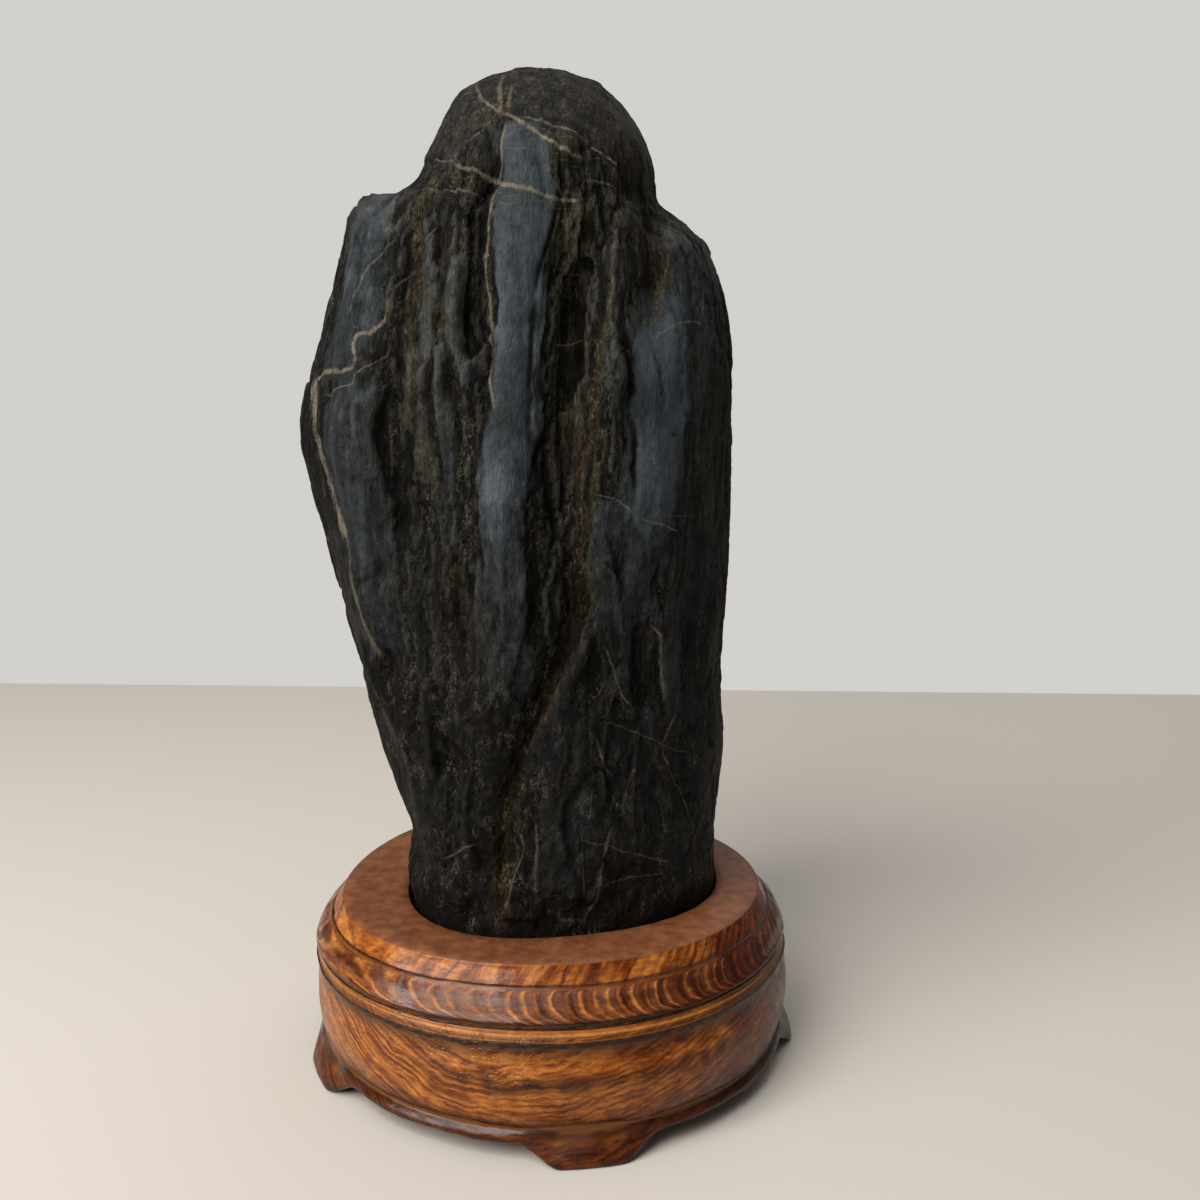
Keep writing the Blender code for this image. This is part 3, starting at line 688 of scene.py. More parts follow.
@dataclass
class Rock:
    """The stone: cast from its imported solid, eased, split, fluted and veined."""

    finish: "SlateFinish"
    node: str = "rock"
    axis: tuple[float, float] = ROCK_AXIS
    cast_columns: int = 540
    face_columns: int = 254
    back_columns: int = 84
    face_reach: float = 96.0            # bearing to which the columns lie close, either way
    seat_rows: tuple[float, ...] = (34.05, 38.0, 42.0, 45.0)
    first_row: float = 46.4
    fan_height: float = 226.0           # above it the rows fan up to the crown
    row_step: float = 0.8
    fan_rows: int = 60
    cast_ease: tuple[int, int] = (9, 5)     # passes round the stone and up it
    worn_ease: tuple[int, int] = (20, 11)
    hollow_ease: tuple[int, int] = (16, 14)
    fine_ease: tuple[int, int] = (3, 3)
    deep_ease: tuple[int, int] = (110, 80)
    top: float = 272.6
    seat_line: float = 50.0
    dome_edge: tuple[float, float] = (243.0, 256.0)
    line_reach: float = 5.0             # half-widths out to which a drawn line is felt
    line_taper: float = 6.0             # millimetres over which it dies away at its ends
    skin_depth: float = 8.0             # ground further than this from a line is another side
    ridge_reach: float = 4.0            # worn zones narrower than this stand up as ridges
    ridge_lift: float = 1.0
    split_shift: float = 31.0           # keeps one pattern from falling in with another
    flake_crack: float = 0.05
    face_middle: float = -4.0           # bearing of the middle of the split face
    face_half: tuple[float, float] = (46.0, 34.0)
    low_ground: tuple[float, float] = (105.0, 150.0)
    vein_reach: float = 2.6
    vein_taper: float = 2.5
    seed: int = 7
    grid: StoneGrid = field(init=False)
    work: StoneGrid = field(init=False)
    flat: np.ndarray = field(init=False)
    facing: np.ndarray = field(init=False)
    wandered: np.ndarray = field(init=False)
    ragged: np.ndarray = field(init=False)

    def cast(self) -> StoneGrid:
        """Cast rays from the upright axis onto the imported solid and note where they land.

        Returns:
            The sheet of landing points: level rows first, then a fan up to the crown.
        """
        tree = solid_tree(self.node)
        bearings = np.linspace(-180.0, 180.0, self.cast_columns, endpoint=False)
        level = np.arange(self.first_row, self.fan_height, self.row_step)
        fan = np.radians(np.linspace(0.0, 88.0, self.fan_rows + 1)[1:])
        rows = [(z, 0.0) for z in (*self.seat_rows, *level)] + [(self.fan_height, e) for e in fan]
        points = np.empty((len(rows), len(bearings), 3))
        for row, (height, rise) in enumerate(rows):
            start = Vector((*self.axis, height))
            for column, bearing in enumerate(np.radians(bearings)):
                ray = Vector((
                    math.sin(bearing) * math.cos(rise), -math.cos(bearing) * math.cos(rise),
                    math.sin(rise)
                ))
                points[row, column] = tree.ray_cast(start, ray)[0]
        return StoneGrid(bearings, points)

    def columns(self) -> np.ndarray:
        """Space the columns: close over the face, wider round the back.

        Returns:
            The columns' bearings.
        """
        face = np.linspace(-self.face_reach, self.face_reach, self.face_columns)
        gap = (360.0 - 2.0 * self.face_reach) / (self.back_columns + 1)
        back = self.face_reach + gap * np.arange(1, self.back_columns + 1)
        return np.concatenate([face, back])

    def prepare(self) -> None:
        """Lay out the sheet that the skin is worked from, and the noise that frays its lines."""
        self.grid = self.cast()
        self.grid.points = self.grid.blurred(self.grid.points, *self.cast_ease)
        self.work = self.grid.resampled(self.columns())
        self.flat = self.work.points.reshape(-1, 3)
        self.facing = self.work.normals().reshape(-1, 3)
        # without a seed, noise_vector would shift its pattern by the clock at every run
        noise.seed_set(self.seed)
        self.wandered = self.flat + sum(
            size.depth * sample(size.count(self.flat), noise.noise_vector) for size in WANDER
        )
        self.ragged = sum(size.waves(self.flat) for size in RAGGED)

    def evened(self, values: np.ndarray, passes: tuple[int, int]) -> np.ndarray:
        """Even one value a point out over its neighbours."""
        sheet = values.reshape(self.work.points.shape[:2])
        return self.work.blurred(sheet, *passes).ravel()

    def reach(self, line: np.ndarray, width: float) -> Reach:
        """Measure the points within a width of a line, along the stone's surface.

        Args:
            line: the points that the line passes through.
            width: how far either side to look.

        Returns:
            The points found and where they lie against the line.
        """
        low, high = line.min(0) - width - 2.0, line.max(0) + width + 2.0
        near = np.flatnonzero(((self.flat > low) & (self.flat < high)).all(1))
        points, facing = self.wandered[near], self.facing[near]
        best = np.full(len(near), np.inf)
        aside, along = np.zeros(len(near)), np.zeros(len(near))
        travelled = 0.0
        for start, end in zip(line, line[1:]):
            run = end - start
            length = max(float(np.linalg.norm(run)), 1e-6)
            offset = points - start
            share = np.clip(offset @ run / length**2, 0.0, 1.0)
            rest = offset - share[:, None] * run
            lift = (rest * facing).sum(1)
            rest -= lift[:, None] * facing
            gap = np.linalg.norm(rest, axis=1)
            closer = (gap < best) & (np.abs(lift) < self.skin_depth)
            side = np.sign((np.cross(facing, run) * rest).sum(1))
            best = np.where(closer, gap, best)
            aside = np.where(closer, gap * side, aside)
            along = np.where(closer, travelled + share * length, along)
            travelled += length
        kept = best < width
        return Reach(near[kept], aside[kept], along[kept], travelled)

    def spread(self, zones: Sequence[Zone]) -> np.ndarray:
        """Paint zones of ground onto the points, each with a ragged edge.

        Args:
            zones: the zones, of which the strongest wins where two overlap.

        Returns:
            A share from 0 to 1 for each point.
        """
        share = np.zeros(len(self.flat))
        for zone in zones:
            found = self.reach(self.grid.trace(zone.path), zone.reach * 1.5)
            ragged = self.ragged[found.near] * (0.25 + 0.5 / zone.reach)
            edge = 1.0 - smoothstep(0.75, 1.25, np.abs(found.aside) / zone.reach + ragged)
            share[found.near] = np.maximum(share[found.near], zone.share * edge)
        return share

    def lines(self) -> np.ndarray:
        """Raise and sink the drawn ridges, flakes and cracks.

        Returns:
            How far each point is moved outwards, in millimetres.
        """
        moved = np.zeros(len(self.flat))
        for relief in RELIEFS:
            found = self.reach(self.grid.trace(relief.path), relief.width * self.line_reach)
            aside = found.aside / relief.width
            shape = relief.lift * relief.cut.shape(aside) * found.taper(self.line_taper)
            fade = 1.0 - smoothstep(self.line_reach * 0.7, self.line_reach, np.abs(aside))
            varied = 0.75 + 0.5 * self.ragged[found.near]
            moved[found.near] += shape * fade * varied
        return moved

    def splits(self, place: np.ndarray) -> np.ndarray:
        """Open fissures between the fibres, now wide and now fine as a hair.

        Args:
            place: where each point lies in the grain.

        Returns:
            How far each point is moved outwards, in millimetres.
        """
        opened = np.zeros(len(place))
        for size in SPLITS:
            run = sample(size.count(place + self.split_shift * size.width), noise.noise)
            room = Grain(1.4 * size.width, 1.0, 0.5).waves(place - 17.0)
            width = 0.02 + 0.15 * np.clip(0.5 + room, 0.0, 1.0)
            opened -= size.depth * np.exp(-((run / width) ** 2))
        return opened

    def flakes(self, place: np.ndarray) -> np.ndarray:
        """Break the ground into flakes that each lean their own way and part at a crack.

        Args:
            place: where each point lies in the grain.

        Returns:
            How far each point is moved outwards, in millimetres.
        """
        raised = np.zeros(len(place))
        for size in FLAKES:
            for index, spot in enumerate(size.count(place).tolist()):
                far, (middle, *_) = noise.voronoi(spot)
                slope = noise.cell_vector(middle * 5.7) - HALF
                lean = slope.dot(Vector(spot) - middle) * 2.2
                edge = math.exp(-(far[1] - far[0]) / self.flake_crack)
                raised[index] += size.depth * (noise.cell(middle * 7.3) + lean - 0.7 * edge)
        return raised

    def grain(self, smooth: np.ndarray, dome: np.ndarray) -> np.ndarray:
        """Work the ground into fibres, flakes and pits, which only show faintly where it is worn.

        Args:
            smooth: the share of water-worn ground at each point.
            dome: the share of the weathered dome, where the grain is only faint.

        Returns:
            How far each point is moved outwards, in millimetres.
        """
        # towards the foot the grain is shorter, and the stone breaks into blocks
        shorter = np.minimum(self.wandered[:, 2] - SPLIT_LINE, 0.0) * GRAIN_CUT
        place = self.wandered + shorter[:, None] * (0.0, 0.0, 1.0)
        turn = np.degrees(np.arctan2(place[:, 0] - self.axis[0], self.axis[1] - place[:, 1]))
        face = 0.35 + 0.65 * smoothstep(*self.face_half, np.abs(turn - self.face_middle))
        face *= 0.6 + 0.4 * smoothstep(*self.low_ground, place[:, 2])
        rough = (1.0 - smooth**2) * (1.0 - 0.75 * dome) * face
        splits, flakes = self.splits(place), self.flakes(place)
        moved = rough * (FOLD.waves(place) + TILT.waves(place) + flakes + splits + 0.2)
        low = 1.0 - smoothstep(*self.low_ground, place[:, 2])
        moved += (0.5 + 1.2 * low) * PILLOW.waves(self.wandered)
        worn = SWELL.waves(place) + FLUTE.waves(place + 50.0) + 0.22 * flakes + 0.2 * splits
        moved += worn * (1.0 - 0.6 * rough)
        return moved - 0.35 * smoothstep(0.45, 0.7, PIT.waves(place))

    def ridges(self) -> np.ndarray:
        """Raise the narrow zones of worn ground between the clefts.

        Returns:
            How far each point is moved outwards, in millimetres.
        """
        narrow = self.spread([zone for zone in SMOOTH_GROUND if zone.reach < self.ridge_reach])
        return self.ridge_lift * self.evened(narrow, (3, 3))

    def held(self, moved: np.ndarray) -> np.ndarray:
        """Hold the skin back near the seat, where it may sink a little but not swell."""
        free = smoothstep(self.seat_line - 3.0, self.seat_line + 3.0, self.flat[:, 2])
        return np.where(moved > 0.0, moved * free, moved * (0.3 + 0.7 * free))

    def veins(self) -> list[np.ndarray]:
        """Note beside each point how it lies to a vein, in channels where no two veins meet.

        Returns:
            One array a channel: distance in half-widths, strength and tint for each point.
        """
        channels = [np.tile((9.0, 0.0, 0.0), (len(self.flat), 1)) for _ in range(VEIN_CHANNELS)]
        used = [np.zeros(len(self.flat), bool) for _ in channels]
        for vein in sorted(VEINS, key=lambda v: -v.strength * v.width):
            found = self.reach(self.grid.trace(vein.path), self.vein_reach)
            clash = [int(mask[found.near].sum()) for mask in used]
            pick = int(np.argmin(clash))
            free = ~used[pick][found.near]
            near, aside = found.near[free], found.aside[free]
            fade = 1.0 - smoothstep(1.7, self.vein_reach, np.abs(aside))
            channels[pick][near, 0] = aside / vein.width
            channels[pick][near, 1] = vein.strength * fade * found.taper(self.vein_taper)[free]
            channels[pick][near, 2] = vein.tint
            used[pick][found.near] = True
        return channels

    def build(self) -> bpy.types.Object:
        """Make the stone as one closed piece and store what its finish reads.

        Returns:
            The finished piece.
        """
        self.prepare()
        smooth, rust, olive = (self.spread(z) for z in (SMOOTH_GROUND, RUST, OLIVE))
        dome = smoothstep(*self.dome_edge, self.flat[:, 2] + 6.0 * self.ragged) * (1.0 - smooth)
        worn = self.evened(smooth, (4, 4))[:, None]
        eased = self.work.blurred(self.work.points, *self.worn_ease).reshape(-1, 3)
        self.flat = self.flat * (1.0 - worn) + eased * worn
        drawn = self.lines()
        moved = self.held(drawn + self.grain(smooth, dome) + self.ridges())
        shaped = inside_box(self.flat + self.facing * moved[:, None])
        shaped[:, 2] = np.clip(shaped[:, 2], self.seat_rows[0], self.top)
        skin = StoneGrid(self.work.bearings, shaped.reshape(self.work.points.shape))
        rows, columns = skin.points.shape[:2]
        middle = skin.points[-1].mean(0)
        crown = [middle[0], middle[1], min(float(skin.points[-1, :, 2].max()), self.top)]
        piece = new_piece(
            "rock_skin", np.vstack([shaped, [[*self.axis, self.seat_rows[0]]], [crown]]),
            closed_faces(rows, columns), self.finish.material()
        )
        hollow, fine = (moved - self.evened(moved, p) for p in (self.hollow_ease, self.fine_ease))
        deep = ((skin.points - skin.blurred(skin.points, *self.deep_ease))
                * self.work.normals()).sum(2)
        beside = {
            "ground": np.stack([smooth, rust, olive], 1),
            "form": np.stack([hollow, fine, deep.ravel()], 1), "dome": dome, "drawn": drawn
        }
        for number, channel in enumerate(self.veins()):
            beside[f"vein_{number}"] = channel
        for name, values in beside.items():
            write_attribute(piece.data, name, np.concatenate([values, values[[0, -1]]]))
        return piece


def closed_faces(rows: int, columns: int) -> list[tuple[int, ...]]:
    """Join rings of points into a skin closed at both ends.

    Args:
        rows: how many rings there are, lowest first.
        columns: how many points each ring has, turning anticlockwise seen from above.

    Returns:
        Faces that look outwards. The first end's point follows the rings, then the last end's.
    """
    faces: list[tuple[int, ...]] = []
    first, last = rows * columns, rows * columns + 1
    for column in range(columns):
        after = (column + 1) % columns
        faces.append((first, after, column))
        top = (rows - 1) * columns
        faces.append((last, top + column, top + after))
        for row in range(rows - 1):
            low, high = row * columns, (row + 1) * columns
            faces.append((low + column, low + after, high + after, high + column))
    return faces


UPPER_PROFILE = [       # the moulding, from the rim down to the bulge: out from the plan, height
    (-1.4, 48.0), (-0.3, 47.5), (0.2, 46.6), (2.5, 42.9), (2.1, 42.3), (3.5, 42.0), (5.8, 40.0),
    (7.2, 37.3), (7.7, 35.5), (6.3, 34.4), (7.6, 33.6), (7.6, 32.7), (6.8, 31.5), (7.1, 30.0),
    (8.3, 27.0), (9.3, 22.5), (9.4, 18.0), (8.9, 13.5)
]
LIP_PROFILE = [         # between the feet, the bulge tucks under to a rolled lip
    (8.3, 10.6), (7.4, 9.0), (8.3, 7.8), (9.0, 6.6), (8.8, 5.5), (7.6, 5.0), (5.8, 5.0),
    (-9.0, 5.0)
]
FOOT_PROFILE = [        # at a foot, the same run flares down to a flat sole
    (8.2, 11.0), (7.3, 9.0), (8.4, 6.6), (10.6, 3.8), (11.9, 1.6), (12.0, 0.5), (11.4, 0.0),
    (-7.5, 0.0)
]
MOULDING_DEPTH = [      # place down the moulding, its width there, and how far it is let in or out
    (4.3, 0.5, -0.9), (6.6, 1.0, 0.25), (9.0, 0.45, -1.2), (10.3, 0.7, 0.5), (12.4, 1.1, -1.7)
]
RIM_WAVES = [(1, 1.4, -139.0), (2, 1.55, -161.0), (3, 1.15, -132.0), (4, 0.45, 111.0)]
BODY_WAVES = [(2, 0.9, 0.0)]    # swells round the plan: how many, how far out, the first's bearing
FEET = [-65.0, 9.8, 91.0, 160.0, 227.0]


def rounded(points: Sequence[tuple[float, ...]], steps: int, rows: int) -> np.ndarray:
    """Run a soft curve through the points of a profile, which bends less than a free one would.

    Args:
        points: the profile's points in order.
        steps: how many places each stretch between two points is cut into.
        rows: how many of the stretches are curved; the rest stay straight.

    Returns:
        The places along the curve, with each one's place in the list of points added last.
    """
    line = np.array(points)
    out: list[np.ndarray] = []
    for index in range(len(line) - 1):
        here, there = line[index], line[index + 1]
        before = line[max(index - 1, 0)]
        after = line[min(index + 2, len(line) - 1)]
        length = np.linalg.norm(there - here)
        pull = []
        for left, middle, right in ((before, here, there), (here, there, after)):
            turn = right - left
            span = max(float(np.linalg.norm(turn)), 1e-6)
            reach = min(length, float(np.linalg.norm(middle - left)) or length,
                        float(np.linalg.norm(right - middle)) or length)
            pull.append(turn / span * reach * 1.1)
        for step in range(steps):
            t = step / steps
            place = here * (1 - t) + there * t
            if index < rows:
                place = (
                    here * (2 * t**3 - 3 * t**2 + 1) + pull[0] * (t**3 - 2 * t**2 + t)
                    + there * (3 * t**2 - 2 * t**3) + pull[1] * (t**3 - t**2)
                )
            out.append(np.append(place, index + t))
    out.append(np.append(line[-1], len(line) - 1))
    return np.array(out)


@dataclass
class SweepTree:
    """Geometry Nodes that carry a moulding round the stand's plan and blend its feet in."""

    axis: tuple[float, float] = PLAN_AXIS
    rim_radius: float = 59.3
    body_radius: float = 60.3
    evened_high: float = 43.0       # from here down, the rim's plan gives way to the body's
    evened_low: float = 20.0
    foot_half: float = 6.0          # degrees either side of a foot's bearing
    foot_flare: float = 10.2
    tree: bpy.types.NodeTree = field(init=False)

    def sockets(self) -> None:
        """Name the tree's inputs and output, and give its sizes their usual values."""
        face = self.tree.interface
        face.new_socket("Geometry", in_out="INPUT", socket_type="NodeSocketGeometry")
        for name, value in (
            ("Rim Radius", self.rim_radius), ("Body Radius", self.body_radius),
            ("Foot Half Width", self.foot_half), ("Foot Flare", self.foot_flare),
            *((f"Foot {number} Bearing", bearing) for number, bearing in enumerate(FEET, 1))
        ):
            made = face.new_socket(name, in_out="INPUT", socket_type="NodeSocketFloat")
            made.default_value = value
        face.new_socket("Wood", in_out="INPUT", socket_type="NodeSocketMaterial")
        face.new_socket("Geometry", in_out="OUTPUT", socket_type="NodeSocketGeometry")

    def plan(self, put: partial, given: dict[str, Socket], height: Socket) -> Socket:
        """Work out how far from the axis the plan lies at a point's bearing and height.

        Args:
            put: adds a node to the tree.
            given: what is known of the point, and the tree's inputs.
            height: the point's height.

        Returns:
            The plan's radius there.
        """
        radii = []
        waves = [(given["Rim Radius"], RIM_WAVES), (given["Body Radius"], BODY_WAVES)]
        for radius, crests in waves:
            for count, crest, turn in crests:
                angle = put(MATH, (given["bearing"], float(count), -turn), **TIMES_ADD)
                angle = put(MATH, (angle,), operation="RADIANS")
                wave = put(MATH, (angle,), operation="COSINE")
                radius = put(MATH, (wave, crest, radius), **TIMES_ADD)
            radii.append(radius)
        evened = put(MAP, (height, self.evened_high, self.evened_low), **EASED)
        return put(MIX, {0: evened, 2: radii[0], 3: radii[1]})

    def build(self) -> bpy.types.NodeTree:
        """Make the tree.

        Returns:
            The tree, which moves every point marked as swept to its place on the moulding.
        """
        self.tree = bpy.data.node_groups.new("swept_moulding", "GeometryNodeTree")
        self.sockets()
        put = partial(add, self.tree)
        named = "GeometryNodeInputNamedAttribute"
        given = dict(self.tree.nodes.new("NodeGroupInput").outputs.items())
        given["bearing"] = put(named, {"Name": "bearing"}, data_type="FLOAT")
        # how far round from the nearest foot, and so how much of its profile shows
        off: Socket | None = None
        for number in range(1, len(FEET) + 1):
            turn = put(MATH, (given["bearing"], given[f"Foot {number} Bearing"]), **MINUS)
            aside = put(MATH, (turn, 180.0, -180.0), operation="WRAP")
            aside = put(MATH, (aside,), **ABSOLUTE)
            off = aside if off is None else put(MATH, (off, aside), operation="MINIMUM")
        edge = put(MATH, (given["Foot Half Width"], given["Foot Flare"]))
        foot = put(MAP, (off, edge, given["Foot Half Width"]), **EASED)
        profile = put(MIX, {
            0: foot, 4: put(named, {"Name": "lip"}, data_type="FLOAT_VECTOR"),
            5: put(named, {"Name": "foot"}, data_type="FLOAT_VECTOR")
        }, 1, data_type="VECTOR")
        out, height, _ = put(SPLIT, (profile,)).node.outputs
        radius = put(MATH, (self.plan(put, given, height), out))
        angle = put(MATH, (given["bearing"],), operation="RADIANS")
        sine, cosine = (put(MATH, (angle,), operation=o) for o in ("SINE", "COSINE"))
        behind = put(MATH, (cosine, -1.0), **TIMES)
        place = put("ShaderNodeCombineXYZ", (
            put(MATH, (sine, radius, self.axis[0]), **TIMES_ADD),
            put(MATH, (behind, radius, self.axis[1]), **TIMES_ADD), height
        ))
        metres = put(VECTOR, {0: place, "Scale": MM}, operation="SCALE")
        moved = put("GeometryNodeSetPosition", {
            "Geometry": given["Geometry"], "Position": metres,
            "Selection": put(named, {"Name": "swept"}, data_type="BOOLEAN")
        })
        real = put("GeometryNodeRealizeInstances", (moved,))
        dressed = put("GeometryNodeSetMaterial", {0: real, "Material": given["Wood"]})
        self.tree.links.new(dressed, self.tree.nodes.new("NodeGroupOutput").inputs[0])
        return self.tree


@dataclass
class CarvedStand:
    """The stand: seat, flat rim, stepped moulding, bulging body, tucked lip and five feet."""

    finish: "StainedWoodFinish"
    node: str = "stand"
    columns: int = 648
    profile_steps: int = 5
    lower_steps: int = 4
    seat_floor: float = 33.7
    seat_heights: tuple[float, ...] = (33.8, 36.0, 39.0, 42.0, 44.5, 46.4)
    seat_edge: float = 0.5
    seat_slack: float = 0.8             # the seat stands off the stone a little at its left
    slack_bearing: float = -72.0
    rim_rows: int = 5
    rim_height: float = 48.0
    belly: float = 5.0
    belly_out: float = -12.0
    hand: tuple[float, float] = (16.0, 0.4)     # how the hand shows: width and depth, millimetres
    tool: tuple[float, float] = (4.5, 0.12)
    scoop_aside: float = 11.0           # degrees from a foot's bearing
    scoop_depth: float = 0.9
    edge_ease: int = 3
    swell_ease: int = 26

    def seat_wall(self, bearings: np.ndarray) -> np.ndarray:
        """Find the wall of the seat, casting from inside it.

        Args:
            bearings: the bearings to look at.

        Returns:
            How far out the wall is, one row for each height, lowest first.
        """
        tree = solid_tree(self.node)
        rays = [Vector((math.sin(b), -math.cos(b), 0.0)) for b in np.radians(bearings)]
        away = np.abs(bearings - self.slack_bearing)
        slack = smoothstep(60.0, 20.0, away) * self.seat_slack
        rows = []
        for height in self.seat_heights:
            start = Vector((*PLAN_AXIS, height))
            radii = np.array([tree.ray_cast(start, ray)[3] for ray in rays])
            for _ in range(3):
                radii = (np.roll(radii, 1) + 2.0 * radii + np.roll(radii, -1)) / 4.0
            rows.append(radii + slack)
        return np.array(rows)

    def seat_rings(self, bearings: np.ndarray) -> np.ndarray:
        """Lay out the rings of the seat's wall, its eased edge and the flat rim.

        Args:
            bearings: the rings' bearings.

        Returns:
            The rings' points, lowest in the seat first.
        """
        wall = self.seat_wall(bearings)
        edge = np.full(len(bearings), SweepTree.rim_radius + UPPER_PROFILE[0][0])
        for count, crest, start in RIM_WAVES:
            edge += crest * np.cos(np.radians(count * bearings - start))
        lip = wall[-1] + self.seat_edge
        rings = [*zip(wall, self.seat_heights),
                 (wall[-1] + 0.12, self.rim_height - self.seat_edge * 0.55)]
        rings += [
            (lip + (edge - lip) * row / self.rim_rows, self.rim_height)
            for row in range(self.rim_rows)
        ]
        turn = np.radians(bearings)
        way = np.stack([np.sin(turn), -np.cos(turn)], 1)
        return np.array([
            np.column_stack([way * out[:, None] + PLAN_AXIS, np.full(len(turn), height)])
            for out, height in rings
        ])

    def base(self) -> tuple[np.ndarray, dict[str, np.ndarray]]:
        """Lay out the stand's rings of points, from the seat's floor to the belly.

        Returns:
            The points' places and what the tree reads beside each of them.
        """
        bearings = np.linspace(-180.0, 180.0, self.columns, endpoint=False)
        direct = self.seat_rings(bearings)
        upper = rounded(UPPER_PROFILE, self.profile_steps, len(UPPER_PROFILE))[:-1]
        profiles = []
        for lower in (LIP_PROFILE, FOOT_PROFILE):
            whole = rounded([*UPPER_PROFILE[-3:], *lower], self.lower_steps, len(LIP_PROFILE))
            low = whole[2 * self.lower_steps :] + (0.0, 0.0, len(UPPER_PROFILE) - 3.0)
            profiles.append(np.vstack([upper, low, [self.belly_out, self.belly, 26.0]]))
        lips, feet = profiles
        swept = np.zeros((len(lips), self.columns, 3))
        points = np.vstack([direct, swept]).reshape(-1, 3)

        def each(values: np.ndarray, ahead: float) -> np.ndarray:
            """Repeat a ring's value round its points, after the rings laid directly."""
            return np.repeat(np.concatenate([np.full(len(direct), ahead), values]), self.columns)

        def pair(profile: np.ndarray) -> np.ndarray:
            """Store a profile's outward reach and height as a vector for each point."""
            reach, height = (each(profile[:, axis], 0.0) for axis in (0, 1))
            return np.stack([reach, height, np.zeros(len(points))], 1)

        return points, {
            "bearing": np.tile(bearings, len(direct) + len(lips)), "lip": pair(lips),
            "foot": pair(feet), "swept": each(np.ones(len(lips)), 0.0).astype(bool),
            "band": each(lips[:, 2], -1.0)
        }

    def carve(self, mesh: bpy.types.Mesh, beside: dict[str, np.ndarray]) -> None:
        """Work the baked sweep over: scoop the feet, let the hand show, and note its edges and
        hollows for painted light and shade.

        Args:
            mesh: the baked mesh, whose rings are followed by its two end points.
            beside: what was laid down beside each point.
        """
        count = len(mesh.vertices)
        places = np.empty(count * 3)
        mesh.vertices.foreach_get("co", places)
        places = places.reshape(-1, 3) / MM
        body = places[: count - 2]
        bearings, band = beside["bearing"], beside["band"]
        sheet = StoneGrid(bearings[: self.columns], body.reshape(-1, self.columns, 3))
        carved = smoothstep(1.0, 3.0, band) * (1.0 - smoothstep(22.5, 24.0, band))
        moved = np.zeros(len(body))
        for (width, depth), rise in ((self.hand, 1.6), (self.tool, 1.0)):
            moved += depth * sample(body * (1.0, 1.0, rise) / width, noise.noise)
        moved *= carved
        away = np.min([np.abs((bearings - foot + 180.0) % 360.0 - 180.0) for foot in FEET], axis=0)
        round_foot = np.exp(-((away - self.scoop_aside) / 4.0) ** 2)
        moved -= self.scoop_depth * round_foot * np.exp(-((band - 19.3) / 1.1) ** 2)
        for middle, width, lift in MOULDING_DEPTH:
            moved += lift * np.exp(-((band - middle) / width) ** 2)
        body = inside_box(body + sheet.normals().reshape(-1, 3) * moved[:, None])
        body[:, 2] = np.minimum(body[:, 2], self.rim_height)
        places[: count - 2] = body
        mesh.vertices.foreach_set("co", (places * MM).ravel())
        shaped = StoneGrid(sheet.bearings, body.reshape(-1, self.columns, 3))
        for name, passes in (("edge", self.edge_ease), ("swell", self.swell_ease)):
            proud = shaped.proud(passes, passes).ravel()
            write_attribute(mesh, name, np.append(proud, [0.0, 0.0]))

    def build(self) -> bpy.types.Object:
        """Make the stand as one closed piece.

        Returns:
            The finished piece.
        """
        points, beside = self.base()
        ends = [[*PLAN_AXIS, self.seat_floor], [*PLAN_AXIS, self.belly]]
        wood = self.finish.material()
        faces = [f[::-1] for f in closed_faces(len(points) // self.columns, self.columns)]
        piece = new_piece("stand_body", np.vstack([points, ends]), faces, wood)
        for name, values in beside.items():
            rest = np.zeros((2, *values.shape[1:]), values.dtype)
            write_attribute(piece.data, name, np.concatenate([values, rest]))
        modifier = piece.modifiers.new("moulding", "NODES")
        modifier.node_group = SweepTree().build()
        sockets = {s.name: s.identifier for s in modifier.node_group.interface.items_tree}
        modifier[sockets["Wood"]] = wood
        for number, bearing in enumerate(FEET, 1):
            modifier[sockets[f"Foot {number} Bearing"]] = bearing
        graph = bpy.context.evaluated_depsgraph_get()
        baked = bpy.data.meshes.new_from_object(piece.evaluated_get(graph))
        piece.modifiers.clear()
        piece.data = baked
        baked.shade_smooth()
        self.carve(baked, beside)
        return piece


# patterns of the stone: name, how it is drawn out, millimetres across, detail
STONE_PATTERNS = [
    ("fibre", "upright", 2.4, 6.0), ("hair", "upright", 1.1, 4.0), ("patch", "upright", 4.2, 6.0),
    ("cloud", "leaning", 13.0, 5.0), ("fleck", "leaning", 0.75, 4.0),
    ("scratch", "leaning", 2.3, 5.0), ("dash", "leaning", 0.5, 3.0), ("crust", "flat", 3.2, 6.0),
    ("jag", "flat", 1.0, 5.0), ("gap", "flat", 2.8, 3.0)
]
# lines down the moulding darkened as painted shade: middle, half-width and depth of tone
GROOVES = [(4.35, 0.6, 0.85), (9.0, 0.8, 0.97), (12.5, 1.9, 0.92), (19.4, 1.3, 0.6)]
BEAD = (10.5, 0.9, 0.6)         # and the bead, lightened as a painted highlight
# patterns of the wood
WOOD_PATTERNS = [
    ("broad", "flat", 15.0, 4.0), ("wander", "flat", 1.4, 3.0), ("streak", "fine", 1.1, 5.0),
    ("mottle", "flat", 3.6, 5.0), ("figure", "flat", 11.0, 2.0), ("pore", "fine", 0.8, 2.0),
    ("polish", "flat", 8.0, 3.0)
]


